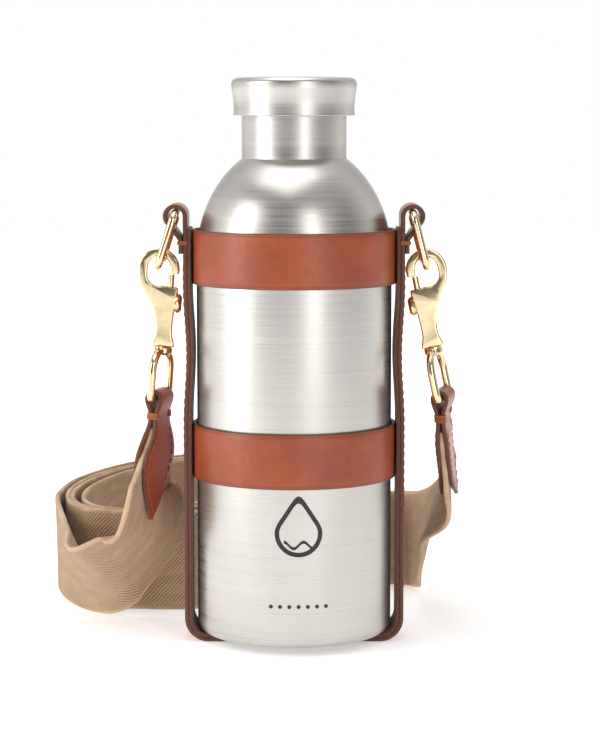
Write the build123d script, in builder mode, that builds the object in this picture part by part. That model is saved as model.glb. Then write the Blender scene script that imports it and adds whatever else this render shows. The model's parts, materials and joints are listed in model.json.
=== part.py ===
"""Insulated steel bottle in a stitched leather carrier with a folded webbing strap.

Millimetres, +Z up. The origin is on the surface that the carrier stands on,
under the bottle's axis. The carrier's two uprights stand at -X and +X.
"""
import os
from math import atan2, cos, radians, sin, sqrt

from build123d import *

# ---- bottle -------------------------------------------------------------
BODY_RADIUS = 36.5
SHOULDER_Z = 144.0
SHOULDER_RISE = 44.0
SHOULDER_STEPS = 6
NECK_RADIUS = 19.5
SHELL_WALL = 0.6
FLASK_WALL = 0.5
VACUUM_GAP = 2.6
NECK_VACUUM_GAP = 1.6
BASE_EDGE_RADIUS = 4.5
BASE_CUP_DEPTH = 2.2
FLASK_FLOOR_GAP = 7.0
FLASK_CORNER = 9.0
NECK_HEIGHT = 21.8
RIM_LIP = 0.6
GETTER_RADIUS = 6.0
GETTER_HEIGHT = 1.6

# ---- lid ----------------------------------------------------------------
LID_SKIRT = 6.1
LID_HEIGHT = 14.2
LID_REACH = 3.1
LID_FLARE = 0.8
LID_WALL = 0.8
LID_EDGE = 2.6
GASKET_HEIGHT = 1.2
PLUG_DEPTH = 11.0
PLUG_WALL = 1.6
PLUG_GAP = 1.0
THREAD_PITCH = 4.0
THREAD_TURNS = 1.6
THREAD_HEIGHT = 0.7
THREAD_RUN = 1.2
THREAD_ROOT = 0.15
SEAT_GAP = 0.02

# ---- leather carrier ----------------------------------------------------
STRIP_WIDTH = 20.0
BAND_HEIGHT = 20.2
BAND_THICKNESS = 1.5
BODY_GAP = 0.3
LINING_THICKNESS = 1.2
OUTER_THICKNESS = 1.6
UNDER_BEND = 7.2
SHOULDER_TO_BAND = 9.2
LOWER_BAND_Z = 62.3
LOOP_RADIUS = 4.5
BAND_TO_LOOP = 25.2
LOOP_TAIL = 5.0
LOOP_CLOSE_ANGLE = 50.0
LOOP_TAIL_BEND = 2.5
STITCH_LENGTH = 2.6
STITCH_PITCH = 5.0
STITCH_WIDTH = 0.6
STITCH_PROUD = 0.35
STITCH_INSET = 2.0
PLY_GAP = 0.02

# ---- metal hardware -----------------------------------------------------
RING_WIRE = 3.0
RING_DROP = 20.4
RING_INNER_WIDTH = 22.0
RING_CORNER = 3.6
LEFT_RING_LEAN = 18.0
RIGHT_RING_LEAN = 14.5
LEFT_HOOK_LEAN = 4.5
RIGHT_HOOK_LEAN = 12.0
HOOK_THICKNESS = 5.0
OPEN_PIVOT_GAP = 1.6
HOOK_HOLE_RADIUS = 4.2
HOOK_HOLE_STRETCH = 2.8
HOOK_OUTER_RADIUS = 7.7
HOOK_HOLE_U = -3.5
HOOK_HOLE_V = 28.0
GATE_HIGH = 27.4
GATE_REACH = 12.0
HOOK_EDGE = 0.9
WEB_FOOT_V = 8.5
FLARE_EDGE = 0.8
FACE_SLOT_LOW = 4.6
FACE_SLOT_HIGH = 19.5
FACE_SLOT_WIDTH = 1.1
SHANK_RADIUS = 3.0
SHANK_FLARE_RADIUS = 4.1
BOLT_U = 1.2
BOLT_RADIUS = 1.2
BOLT_RUNNING_GAP = 0.1
BOLT_FOOT_V = 11.5
BOLT_TRAVEL = 5.0
BORE_FLOOR_V = 4.0
KNOB_V = 16.4
KNOB_RADIUS = 3.8
KNOB_STEM_RADIUS = 0.95
KNOB_THICKNESS = 2.6
SLOT_GAP = 0.25
SPRING_WIRE = 0.3
SPRING_TURNS = 5
EYE_DROP = 19.5
EYE_INNER_WIDTH = 17.5
EYE_WIRE = 3.0
EYE_SHOULDER = 8.0
EYE_CORNER = 2.8
EYE_COLLAR_RADIUS = 3.6
EYE_COLLAR_HEIGHT = 2.2
POST_RADIUS = 1.2
POST_HEAD_RADIUS = 2.0
POST_HEAD_HEIGHT = 0.8
POST_NECK_HEIGHT = 1.6
SWIVEL_GAP = 0.1

# ---- strap tabs and webbing ---------------------------------------------
TAB_LEATHER = 1.7
TAB_NECK_WIDTH = 14.0
TAB_LEAF_WIDTH = 22.0
TAB_LENGTH = 47.0
TAB_NECK_DROP = 9.0
TAB_WIDE_DROP = 24.0
TAB_YAW = 16.0
BAR_GAP = 0.3
WEBBING_WIDTH = 40.0
WEBBING_THICKNESS = 2.0
TONGUE_TOP_WIDTH = 13.5
TONGUE_FOOT_WIDTH = 37.0
TONGUE_START_DROP = 12.0
TONGUE_FOOT_DROP = 49.0
COIL_X = -50.0
COIL_Y = 124.0
COIL_LONG = 86.0
COIL_SHORT = 43.0
COIL_YAW = 73.7
COIL_BUILD = 14.0
BACK_RUN_START = 48.0
BACK_TURN_Y = 93.0
BACK_TURN_RADIUS = 5.5
BACK_BEND_X = 4.0
BACK_BEND_Y = 60.0
COIL_MEET_X = -60.0
COIL_MEET_Y = 39.5
SOFT_GAP = 0.3

# ---- worked out ---------------------------------------------------------
base_z = LINING_THICKNESS + OUTER_THICKNESS + SEAT_GAP
lining_x = BODY_RADIUS + BODY_GAP + BAND_THICKNESS + PLY_GAP
outer_x = lining_x + LINING_THICKNESS
face_x = outer_x + OUTER_THICKNESS
loop_axis_x = outer_x + LOOP_RADIUS
upper_band_z = SHOULDER_Z - SHOULDER_TO_BAND
loop_axis_z = upper_band_z + BAND_TO_LOOP
neck_foot_z = SHOULDER_Z + SHOULDER_RISE * sqrt(1 - (NECK_RADIUS / BODY_RADIUS) ** 2)
rim_z = neck_foot_z + NECK_HEIGHT
lid_bottom_z = rim_z - LID_SKIRT
lid_radius_low = NECK_RADIUS + LID_REACH
lid_radius_high = lid_radius_low + LID_FLARE
flask_radius = BODY_RADIUS - SHELL_WALL - VACUUM_GAP
neck_bore = NECK_RADIUS - SHELL_WALL - NECK_VACUUM_GAP - FLASK_WALL
plug_radius = neck_bore - PLUG_GAP
flange_z = rim_z + GASKET_HEIGHT + 2 * SEAT_GAP
ring_wire_radius = RING_WIRE / 2
gate_low = HOOK_HOLE_V - HOOK_HOLE_STRETCH / 2 - HOOK_HOLE_RADIUS
eye_wire_radius = EYE_WIRE / 2
tab_bend_radius = eye_wire_radius + BAR_GAP
SIDES = (("left", -1, LEFT_RING_LEAN, LEFT_HOOK_LEAN), ("right", 1, RIGHT_RING_LEAN, RIGHT_HOOK_LEAN))

os.makedirs("parts", exist_ok=True)


def save(builder, name, plane=Plane.XY):
    """Place a finished piece by its plane, label it and write it as its own STEP file."""
    piece = builder.part.moved(plane.location)
    piece.label = name
    export_step(piece, "parts/" + name + ".step")


def wall_profile(radius, corner, floor_z, shoulder_z, rise, neck_radius, top_z):
    """Half outline of a bottle wall: floor, corner, side, elliptical shoulder and neck."""
    junction = shoulder_z + rise * sqrt(1 - (neck_radius / radius) ** 2)
    end = atan2((junction - shoulder_z) / rise, neck_radius / radius)
    turns = [end * i / SHOULDER_STEPS for i in range(SHOULDER_STEPS + 1)]
    curve = [(radius * cos(turn), shoulder_z + rise * sin(turn)) for turn in turns]
    Line((0, floor_z), (radius - corner, floor_z))
    RadiusArc((radius - corner, floor_z), (radius, floor_z + corner), -corner)
    Line((radius, floor_z + corner), (radius, shoulder_z))
    Spline(*curve, tangents=[(0, 1), (-radius * sin(end), rise * cos(end))])
    Line((neck_radius, junction), (neck_radius, top_z))
    Line((neck_radius, top_z), (0, top_z))
    Line((0, top_z), (0, floor_z))


def wall_sketch(radius, corner, floor_z, shoulder_z, rise, neck_radius, top_z):
    """Half section of a solid bottle, ready to revolve."""
    with BuildSketch(Plane.XZ) as section:
        with BuildLine():
            wall_profile(radius, corner, floor_z, shoulder_z, rise, neck_radius, top_z)
        make_face()
    return section.sketch


# ---- bottle -------------------------------------------------------------
def make_outer_shell():
    """Outer steel wall, open at the rim and at the recessed base."""
    with BuildPart() as bottle_outer_shell:
        revolve(wall_sketch(BODY_RADIUS, BASE_EDGE_RADIUS, base_z, SHOULDER_Z, SHOULDER_RISE,
                            NECK_RADIUS, rim_z), axis=Axis.Z)
        revolve(wall_sketch(BODY_RADIUS - SHELL_WALL, BASE_EDGE_RADIUS - SHELL_WALL,
                            base_z + SHELL_WALL, SHOULDER_Z, SHOULDER_RISE - SHELL_WALL,
                            NECK_RADIUS - SHELL_WALL, rim_z + 1), axis=Axis.Z, mode=Mode.SUBTRACT)
        with BuildSketch(Plane.XY.offset(base_z - 1)):
            Circle(BODY_RADIUS - BASE_EDGE_RADIUS - 1)
        extrude(amount=3, mode=Mode.SUBTRACT)
    save(bottle_outer_shell, "bottle_outer_shell")


def make_base_cup():
    """Dished disc welded inside the outer wall's foot."""
    foot = BODY_RADIUS - SHELL_WALL - BASE_EDGE_RADIUS
    low = base_z + SHELL_WALL + PLY_GAP
    high = low + BASE_CUP_DEPTH
    with BuildPart() as bottle_base_cup:
        with BuildSketch(Plane.XZ):
            with BuildLine():
                Polyline((0, high), (foot - 4.3, high), (foot - 1.8, low), (foot, low),
                         (foot, low + SHELL_WALL), (foot - 1.4, low + SHELL_WALL),
                         (foot - 3.9, high + SHELL_WALL), (0, high + SHELL_WALL), close=True)
            make_face()
        revolve(axis=Axis.Z)
    save(bottle_base_cup, "bottle_base_cup")


def make_inner_flask():
    """Inner steel wall with its lip welded to the rim, and the thread inside its neck."""
    floor = base_z + FLASK_FLOOR_GAP
    rise = SHOULDER_RISE - SHELL_WALL - VACUUM_GAP
    neck = neck_bore + FLASK_WALL
    with BuildPart() as bottle_inner_flask:
        revolve(wall_sketch(flask_radius, FLASK_CORNER, floor, SHOULDER_Z, rise, neck, rim_z),
                axis=Axis.Z)
        with BuildSketch(Plane.XY.offset(rim_z - RIM_LIP)):
            Circle(NECK_RADIUS - SHELL_WALL - PLY_GAP)
        extrude(amount=RIM_LIP)
        revolve(wall_sketch(flask_radius - FLASK_WALL, FLASK_CORNER - FLASK_WALL,
                            floor + FLASK_WALL, SHOULDER_Z, rise - FLASK_WALL, neck_bore,
                            rim_z + 1), axis=Axis.Z, mode=Mode.SUBTRACT)
        add(thread_ridge(neck_bore, -1, rim_z - PLUG_DEPTH + THREAD_PITCH / 2))
    save(bottle_inner_flask, "bottle_inner_flask")


def make_getter():
    """Getter pellet in its holder, welded to the base cup inside the vacuum."""
    low = base_z + SHELL_WALL + BASE_CUP_DEPTH + SHELL_WALL + 2 * PLY_GAP
    with BuildPart() as vacuum_getter:
        with BuildSketch(Plane.XY.offset(low)):
            Circle(GETTER_RADIUS)
        extrude(amount=GETTER_HEIGHT)
        fillet(vacuum_getter.edges().group_by(Axis.Z)[-1], GETTER_HEIGHT / 4)
    save(vacuum_getter, "vacuum_getter")


def thread_ridge(radius, side, start_z):
    """Helical ridge rooted in the wall at radius: side 1 stands out, -1 stands in."""
    root = radius - side * THREAD_ROOT
    crest = radius + side * THREAD_HEIGHT
    helix = Helix(pitch=THREAD_PITCH, height=THREAD_PITCH * THREAD_TURNS, radius=root,
                  center=(0, 0, start_z))
    with BuildPart() as ridge:
        with BuildSketch(Plane(origin=helix @ 0, x_dir=(1, 0, 0), z_dir=helix % 0)):
            with BuildLine():
                Polyline((0, -THREAD_RUN / 2), (crest - root, -THREAD_RUN / 4),
                         (crest - root, THREAD_RUN / 4), (0, THREAD_RUN / 2), close=True)
            make_face()
        sweep(path=helix, is_frenet=True)
    return ridge.part


# ---- lid ----------------------------------------------------------------
def lid_sketch(low_radius, high_radius, low_z, high_z, edge):
    """Half section of a solid flared lid between two heights."""
    with BuildSketch(Plane.XZ) as section:
        with BuildLine():
            Line((0, low_z), (low_radius, low_z))
            Line((low_radius, low_z), (high_radius, high_z - edge))
            RadiusArc((high_radius, high_z - edge), (high_radius - edge, high_z), -edge)
            Line((high_radius - edge, high_z), (0, high_z))
            Line((0, high_z), (0, low_z))
        make_face()
    return section.sketch


def make_lid_shell():
    """Brushed steel cap skin."""
    top = lid_bottom_z + LID_HEIGHT
    with BuildPart() as lid_shell:
        revolve(lid_sketch(lid_radius_low, lid_radius_high, lid_bottom_z, top, LID_EDGE),
                axis=Axis.Z)
        revolve(lid_sketch(lid_radius_low - LID_WALL, lid_radius_high - LID_WALL,
                           lid_bottom_z - 1, top - LID_WALL, LID_EDGE - LID_WALL),
                axis=Axis.Z, mode=Mode.SUBTRACT)
        fillet(lid_shell.edges().group_by(Axis.Z)[0].sort_by(SortBy.RADIUS)[-1], LID_WALL / 4)
    save(lid_shell, "lid_shell")


def make_lid_plug():
    """Moulded plug with a flange inside the cap, a foam pocket and the screw thread."""
    ceiling = lid_bottom_z + LID_HEIGHT - LID_WALL - 2 * PLY_GAP
    flange_radius = lid_radius_low - LID_WALL - PLY_GAP
    with BuildPart() as lid_plug:
        with BuildSketch(Plane.XY.offset(rim_z - PLUG_DEPTH)):
            Circle(plug_radius)
        extrude(amount=PLUG_DEPTH + flange_z - rim_z + 1)
        fillet(lid_plug.edges().group_by(Axis.Z)[0], PLUG_WALL / 2)
        with BuildSketch(Plane.XY.offset(flange_z)):
            Circle(flange_radius)
        extrude(amount=ceiling - flange_z)
        fillet(lid_plug.edges().group_by(Axis.Z)[-1], LID_EDGE)
        with BuildSketch(Plane.XY.offset(rim_z - PLUG_DEPTH + PLUG_WALL)):
            Circle(plug_radius - PLUG_WALL)
        extrude(amount=ceiling, mode=Mode.SUBTRACT)
        add(thread_ridge(plug_radius, 1, rim_z - PLUG_DEPTH + THREAD_PITCH))
    save(lid_plug, "lid_plug")


def make_lid_insulation():
    """Foam disc sealed in the plug's pocket."""
    low = rim_z - PLUG_DEPTH + PLUG_WALL + PLY_GAP
    ceiling = lid_bottom_z + LID_HEIGHT - LID_WALL - 2 * PLY_GAP
    with BuildPart() as lid_insulation:
        with BuildSketch(Plane.XY.offset(low)):
            Circle(plug_radius - PLUG_WALL - PLY_GAP)
        extrude(amount=ceiling - low)
    save(lid_insulation, "lid_insulation")


def make_gasket():
    """Silicone ring between the plug's flange and the rim."""
    with BuildPart() as lid_gasket:
        with BuildSketch(Plane.XY.offset(rim_z + SEAT_GAP)):
            Circle(NECK_RADIUS - SHELL_WALL / 2)
            Circle(plug_radius + PLY_GAP, mode=Mode.SUBTRACT)
        extrude(amount=GASKET_HEIGHT)
    save(lid_gasket, "lid_gasket")


# ---- leather carrier ----------------------------------------------------
def strap_path(face, bend):
    """Half of a strap ply's inner face, from the middle of the base up one side."""
    under = Line((0, base_z - SEAT_GAP - face + lining_x), (face - bend, base_z - SEAT_GAP - face + lining_x))
    corner = JernArc(under @ 1, (1, 0), bend, 90)
    return corner


def make_outer_ply():
    """Outer leather ply: under the bottle, up both sides and round into the ring loops."""
    turn = radians(LOOP_CLOSE_ANGLE)
    tail_x = face_x + OUTER_THICKNESS + PLY_GAP
    start_x = loop_axis_x + LOOP_RADIUS * cos(turn)
    slope_run = start_x - tail_x - LOOP_TAIL_BEND * (1 - cos(turn))
    with BuildPart() as carrier_strap_outer:
        with BuildSketch(Plane.XZ):
            with BuildLine():
                corner = strap_path(outer_x, UNDER_BEND)
                side = Line(corner @ 1, (outer_x, loop_axis_z))
                loop = JernArc(side @ 1, (0, 1), LOOP_RADIUS, -180 - LOOP_CLOSE_ANGLE)
                slope = PolarLine(loop @ 1, slope_run / sin(turn), direction=loop % 1)
                foot = JernArc(slope @ 1, slope % 1, LOOP_TAIL_BEND, LOOP_CLOSE_ANGLE)
                Line(foot @ 1, foot @ 1 - Vector(0, LOOP_TAIL))
                offset(amount=OUTER_THICKNESS, side=Side.RIGHT)
            make_face()
        extrude(amount=STRIP_WIDTH / 2, both=True)
        mirror(about=Plane.YZ)
    save(carrier_strap_outer, "carrier_strap_outer")


def make_lining_ply():
    """Inner leather ply, stitched to the outer ply from loop to loop."""
    with BuildPart() as carrier_strap_lining:
        with BuildSketch(Plane.XZ):
            with BuildLine():
                corner = strap_path(lining_x, UNDER_BEND - LINING_THICKNESS)
                Line(corner @ 1, (lining_x, loop_axis_z - LOOP_RADIUS))
                offset(amount=LINING_THICKNESS - PLY_GAP, side=Side.RIGHT)
            make_face()
        extrude(amount=STRIP_WIDTH / 2, both=True)
        mirror(about=Plane.YZ)
    save(carrier_strap_lining, "carrier_strap_lining")


def make_band(name, low_z):
    """Leather band round the bottle, with its thickness inside the uprights."""
    inner = BODY_RADIUS + BODY_GAP
    with BuildPart() as band:
        with BuildSketch(Plane.XY.offset(low_z)):
            Circle(inner + BAND_THICKNESS)
            Circle(inner, mode=Mode.SUBTRACT)
        extrude(amount=BAND_HEIGHT)
        chamfer(band.edges().filter_by(GeomType.CIRCLE), 0.25)
    save(band, name)


def stitch_row(sign, y, low, high):
    """Stitches standing on one upright's outer face, along one edge."""
    count = int((high - low) / STITCH_PITCH)
    places = [(sign * (face_x + STITCH_PROUD / 2), y, low + (i + 0.5) * STITCH_PITCH) for i in range(count)]
    with Locations(*places):
        Box(STITCH_PROUD, STITCH_WIDTH, STITCH_LENGTH)


def make_edge_stitching():
    """Edge stitching that joins the two plies, two rows on each upright."""
    top = loop_axis_z - LOOP_RADIUS - 2 * LOOP_TAIL - LOOP_TAIL_BEND
    with BuildPart() as edge_stitching:
        for sign in (-1, 1):
            for y in (-1, 1):
                stitch_row(sign, y * (STRIP_WIDTH / 2 - STITCH_INSET), 2 * UNDER_BEND, top)
    save(edge_stitching, "edge_stitching")


def make_loop_stitching():
    """Heavy stitches across each loop's tail, round both edges of the strap."""
    z = loop_axis_z - LOOP_RADIUS - LOOP_TAIL
    with BuildPart() as loop_stitching:
        for sign in (-1, 1):
            middle = sign * (lining_x + face_x + OUTER_THICKNESS) / 2
            depth = face_x + OUTER_THICKNESS - lining_x
            for side in (-1, 1):
                with Locations((middle, side * (STRIP_WIDTH / 2 + STITCH_WIDTH / 2), z - 1.2)):
                    Box(depth, STITCH_WIDTH, STITCH_WIDTH)
    save(loop_stitching, "loop_stitching")


# ---- metal hardware -----------------------------------------------------
def wire_loop(plane, width, drop, top_corner, foot_corner, wire_radius):
    """Closed wire with rounded corners whose top bar passes through the plane's origin."""
    with BuildSketch() as outline:
        with Locations((0, -drop / 2)):
            Rectangle(width + 2 * wire_radius, drop)
        fillet(outline.vertices().group_by(Axis.Y)[-1], top_corner)
        fillet(outline.vertices().group_by(Axis.Y)[0], foot_corner)
    path = outline.sketch.face().outer_wire()
    with BuildPart() as loop:
        with BuildSketch(Plane(origin=path @ 0, z_dir=path % 0)):
            Circle(wire_radius)
        sweep(path=path)
    return loop.part.moved(plane.location)


def ring_plane(sign, lean):
    """Plane of a ring: x along Y, y up and inward by the lean."""
    up = Vector(-sign * sin(radians(lean)), 0, cos(radians(lean)))
    across = Vector(0, 1, 0)
    origin = Vector(sign * loop_axis_x, 0, loop_axis_z + LOOP_RADIUS - OUTER_THICKNESS - ring_wire_radius
                    - SOFT_GAP)
    return Plane(origin=origin, x_dir=across, z_dir=across.cross(up))


def make_ring(name, sign, lean):
    """Cast ring hung in a loop."""
    with BuildPart() as ring:
        add(wire_loop(ring_plane(sign, lean), RING_INNER_WIDTH, RING_DROP, RING_CORNER,
                      RING_CORNER, ring_wire_radius))
    save(ring, name + "_ring")


def hook_plane(sign, ring_lean, hook_lean):
    """Plane of a hook: origin at the shank's foot, x towards the gate, y up the shank."""
    ring_foot = ring_plane(sign, ring_lean).from_local_coords(Vector(0, -RING_DROP, 0))
    lean = radians(hook_lean)
    up = Vector(-sign * sin(lean), 0, cos(lean))
    gate = Vector(-sign * cos(lean), 0, -sin(lean))
    bar_v = HOOK_HOLE_V + HOOK_HOLE_STRETCH / 2 + HOOK_HOLE_RADIUS - ring_wire_radius - OPEN_PIVOT_GAP
    origin = ring_foot - gate * HOOK_HOLE_U - up * bar_v
    return Plane(origin=origin, x_dir=gate, z_dir=gate.cross(up))


def hook_outline():
    """Outer outline of a hook and its shank, from the gate's lip round the back."""
    back = HOOK_HOLE_U - HOOK_OUTER_RADIUS
    web = Spline((back, HOOK_HOLE_V), (-SHANK_RADIUS, WEB_FOOT_V), tangents=[(0, -1), (0, -1)])
    left = Spline(web @ 1, (-SHANK_FLARE_RADIUS, FLARE_EDGE), tangents=[(0, -1), (-0.5, -1)])
    foot = Polyline(left @ 1, (-SHANK_FLARE_RADIUS + FLARE_EDGE, 0),
                    (SHANK_FLARE_RADIUS - FLARE_EDGE, 0), (SHANK_FLARE_RADIUS, FLARE_EDGE))
    right = Spline(foot @ 1, (SHANK_RADIUS, WEB_FOOT_V), tangents=[(-0.5, 1), (0, 1)])
    lip = Line(right @ 1, (SHANK_RADIUS, gate_low))
    Line(lip @ 1, (HOOK_HOLE_U, HOOK_HOLE_V))
    Line((HOOK_HOLE_U, HOOK_HOLE_V), web @ 0)


def make_hook(name, plane):
    """Cast snap hook with its shank, bolt bore, slots and swivel socket."""
    hub = (HOOK_HOLE_U, HOOK_HOLE_V)
    half = HOOK_THICKNESS / 2
    bore = Plane(origin=(BOLT_U, BORE_FLOOR_V, 0), z_dir=(0, 1, 0))
    foot = Plane(origin=(0, 0, 0), z_dir=(0, 1, 0))
    with BuildPart() as hook:
        with BuildSketch():
            with Locations(hub):
                Circle(HOOK_OUTER_RADIUS)
            with BuildLine():
                hook_outline()
            make_face()
            with Locations(hub):
                SlotCenterToCenter(HOOK_HOLE_STRETCH, 2 * HOOK_HOLE_RADIUS, rotation=90,
                                   mode=Mode.SUBTRACT)
            with Locations((HOOK_HOLE_U + GATE_REACH / 2, (gate_low + GATE_HIGH) / 2)):
                Rectangle(GATE_REACH, GATE_HIGH - gate_low, mode=Mode.SUBTRACT)
        extrude(amount=half, both=True)
        fillet(hook.edges().group_by(Axis.Z)[-1] + hook.edges().group_by(Axis.Z)[0], HOOK_EDGE)
        with BuildSketch(bore):
            Circle(BOLT_RADIUS + BOLT_RUNNING_GAP)
        extrude(amount=gate_low - BORE_FLOOR_V + 1, mode=Mode.SUBTRACT)
        with BuildSketch(Plane.XY.offset(-KNOB_STEM_RADIUS - SLOT_GAP)):
            with Locations((BOLT_U + SHANK_RADIUS / 2, KNOB_V - BOLT_TRAVEL / 2)):
                Rectangle(SHANK_RADIUS, BOLT_TRAVEL + 2 * KNOB_STEM_RADIUS + 2 * SLOT_GAP)
        extrude(amount=2 * (KNOB_STEM_RADIUS + SLOT_GAP), mode=Mode.SUBTRACT)
        with BuildSketch():
            with Locations((BOLT_U, (FACE_SLOT_LOW + FACE_SLOT_HIGH) / 2)):
                SlotOverall(FACE_SLOT_HIGH - FACE_SLOT_LOW, FACE_SLOT_WIDTH, rotation=90)
        extrude(amount=HOOK_THICKNESS, both=True, mode=Mode.SUBTRACT)
        with BuildSketch(foot):
            Circle(POST_RADIUS + SWIVEL_GAP)
        extrude(amount=POST_NECK_HEIGHT, mode=Mode.SUBTRACT)
        with BuildSketch(foot.offset(POST_NECK_HEIGHT - SWIVEL_GAP)):
            Circle(POST_HEAD_RADIUS + SWIVEL_GAP)
        extrude(amount=POST_HEAD_HEIGHT + 2 * SWIVEL_GAP, mode=Mode.SUBTRACT)
    save(hook, name + "_hook", plane)


def make_bolt(name, plane):
    """Sliding bolt with the thumb knob that stands out through the shank's slot."""
    foot = Plane(origin=plane.from_local_coords(Vector(BOLT_U, BOLT_FOOT_V, 0)), x_dir=plane.x_dir,
                 z_dir=plane.y_dir)
    stem = Plane(origin=plane.from_local_coords(Vector(BOLT_U, KNOB_V, 0)), x_dir=plane.y_dir,
                 z_dir=plane.x_dir)
    with BuildPart() as bolt:
        with BuildSketch(foot):
            Circle(BOLT_RADIUS)
        extrude(amount=GATE_HIGH - BOLT_FOOT_V - SOFT_GAP)
        with BuildSketch(stem):
            Circle(KNOB_STEM_RADIUS)
        extrude(amount=SHANK_RADIUS - BOLT_U + 1)
        with BuildSketch(plane):
            with BuildLine():
                start = SHANK_RADIUS + SLOT_GAP
                dish = KNOB_THICKNESS / 3
                Polyline((start, KNOB_V), (start, KNOB_V + KNOB_RADIUS - 0.8),
                         (start + dish, KNOB_V + KNOB_RADIUS),
                         (start + 2 * dish, KNOB_V + KNOB_RADIUS - 0.2),
                         (start + KNOB_THICKNESS, KNOB_V + KNOB_RADIUS - 1.4),
                         (start + KNOB_THICKNESS, KNOB_V), close=True)
            make_face()
        revolve(axis=Axis(plane.from_local_coords(Vector(0, KNOB_V, 0)), plane.x_dir))
    save(bolt, name + "_bolt")


def make_spring(name, plane):
    """Compression spring in the bore under the bolt."""
    coil_radius = BOLT_RADIUS - SPRING_WIRE
    low = BORE_FLOOR_V + SPRING_WIRE
    height = BOLT_FOOT_V - BORE_FLOOR_V - 2 * SPRING_WIRE
    helix = Helix(pitch=height / SPRING_TURNS, height=height, radius=coil_radius)
    with BuildPart() as coil:
        with BuildSketch(Plane(origin=helix @ 0, z_dir=helix % 0)):
            Circle(SPRING_WIRE / 2)
        sweep(path=helix, is_frenet=True)
    seat = Plane(origin=plane.from_local_coords(Vector(BOLT_U, low, 0)), x_dir=plane.x_dir,
                 z_dir=plane.y_dir)
    save(coil, name + "_spring", seat)


def eye_plane(sign, plane):
    """Plane of the swivel eye: origin at the shank's foot, x along the bar, y up the shank."""
    yaw = radians(TAB_YAW)
    across = Vector(sin(yaw), cos(yaw), 0)
    up = plane.y_dir
    across = (across - up * across.dot(up)).normalized()
    return Plane(origin=plane.origin, x_dir=across, z_dir=across.cross(up))


def make_eye(name, eye):
    """Swivel eye: wire loop, collar, post and peened head."""
    top = -SWIVEL_GAP
    with BuildPart() as swivel_eye:
        loop_top = top - EYE_COLLAR_HEIGHT
        drop = EYE_DROP + loop_top + 0.6
        loop = Plane(origin=eye.from_local_coords(Vector(0, loop_top + 0.6, 0)), x_dir=eye.x_dir,
                     z_dir=eye.z_dir)
        add(wire_loop(loop, EYE_INNER_WIDTH, drop, EYE_SHOULDER, EYE_CORNER, eye_wire_radius))
        with BuildSketch(eye):
            with BuildLine():
                head = POST_NECK_HEIGHT
                Polyline((0, loop_top - 1), (EYE_COLLAR_RADIUS - 1, loop_top - 1),
                         (EYE_COLLAR_RADIUS, loop_top), (EYE_COLLAR_RADIUS, top - 0.5),
                         (EYE_COLLAR_RADIUS - 0.5, top), (POST_RADIUS, top), (POST_RADIUS, head),
                         (POST_HEAD_RADIUS, head), (POST_HEAD_RADIUS, head + POST_HEAD_HEIGHT),
                         (0, head + POST_HEAD_HEIGHT), close=True)
            make_face()
        revolve(axis=Axis(eye.origin, eye.y_dir))
    save(swivel_eye, name + "_eye")


# ---- tabs and webbing ---------------------------------------------------
def tab_frame(eye):
    """Plane of a tab: origin on the eye's bar, x along the bar, y as upright as the bar lets it."""
    bar = eye.from_local_coords(Vector(0, -EYE_DROP, 0))
    return Plane(origin=bar, x_dir=eye.x_dir, z_dir=eye.x_dir.cross(Vector(0, 0, 1)))


def leaf_outline():
    """Lance-shaped leaf below the bar, in the tab's plane."""
    neck = TAB_NECK_WIDTH / 2
    leaf = TAB_LEAF_WIDTH / 2
    right = Spline((neck, -TAB_NECK_DROP), (leaf, -TAB_WIDE_DROP), (0, -TAB_LENGTH),
                   tangents=[(0.1, -1), (-0.75, -1)])
    left = Spline((-neck, -TAB_NECK_DROP), (-leaf, -TAB_WIDE_DROP), (0, -TAB_LENGTH),
                  tangents=[(-0.1, -1), (0.75, -1)])
    Line(right @ 0, (neck, 0))
    Line((neck, 0), (-neck, 0))
    Line((-neck, 0), left @ 0)


def make_tab(name, tab):
    """Leather tab folded round the eye's bar, a leaf on each face of the webbing."""
    inside = WEBBING_THICKNESS / 2 + PLY_GAP
    bend = tab_bend_radius + TAB_LEATHER
    side_view = Plane(origin=tab.origin, x_dir=tab.z_dir, z_dir=tab.x_dir * -1)
    with BuildPart() as leather:
        for face in (1, -1):
            with BuildSketch(tab.offset(face * inside if face > 0 else -inside - TAB_LEATHER)):
                with BuildLine():
                    leaf_outline()
                make_face()
            extrude(amount=TAB_LEATHER)
        with BuildSketch(side_view):
            Circle(bend)
            with BuildLine():
                Polyline((-bend, 0), (-inside - TAB_LEATHER, -TAB_NECK_DROP + 2),
                         (inside + TAB_LEATHER, -TAB_NECK_DROP + 2), (bend, 0), close=True)
            make_face()
        extrude(amount=TAB_NECK_WIDTH / 2, both=True)
        with BuildSketch(side_view):
            Circle(tab_bend_radius)
        extrude(amount=TAB_LEAF_WIDTH, both=True, mode=Mode.SUBTRACT)
        with BuildSketch(tab):
            with Locations((0, -TAB_LENGTH / 2 - TAB_NECK_DROP)):
                Rectangle(2 * TAB_LEAF_WIDTH, TAB_LENGTH)
        extrude(amount=inside, both=True, mode=Mode.SUBTRACT)
    save(leather, name + "_tab")


def make_tongue(name, tab):
    """End of the webbing, cut to a taper and sewn between the tab's leaves."""
    with BuildPart() as tongue:
        with BuildSketch(tab):
            with BuildLine():
                Polyline((-TONGUE_TOP_WIDTH / 2, -TONGUE_START_DROP),
                         (TONGUE_TOP_WIDTH / 2, -TONGUE_START_DROP),
                         (TONGUE_FOOT_WIDTH / 2, -TONGUE_FOOT_DROP),
                         (-TONGUE_FOOT_WIDTH / 2, -TONGUE_FOOT_DROP), close=True)
            make_face()
        extrude(amount=WEBBING_THICKNESS / 2, both=True)
    save(tongue, name + "_strap_end")


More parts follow.
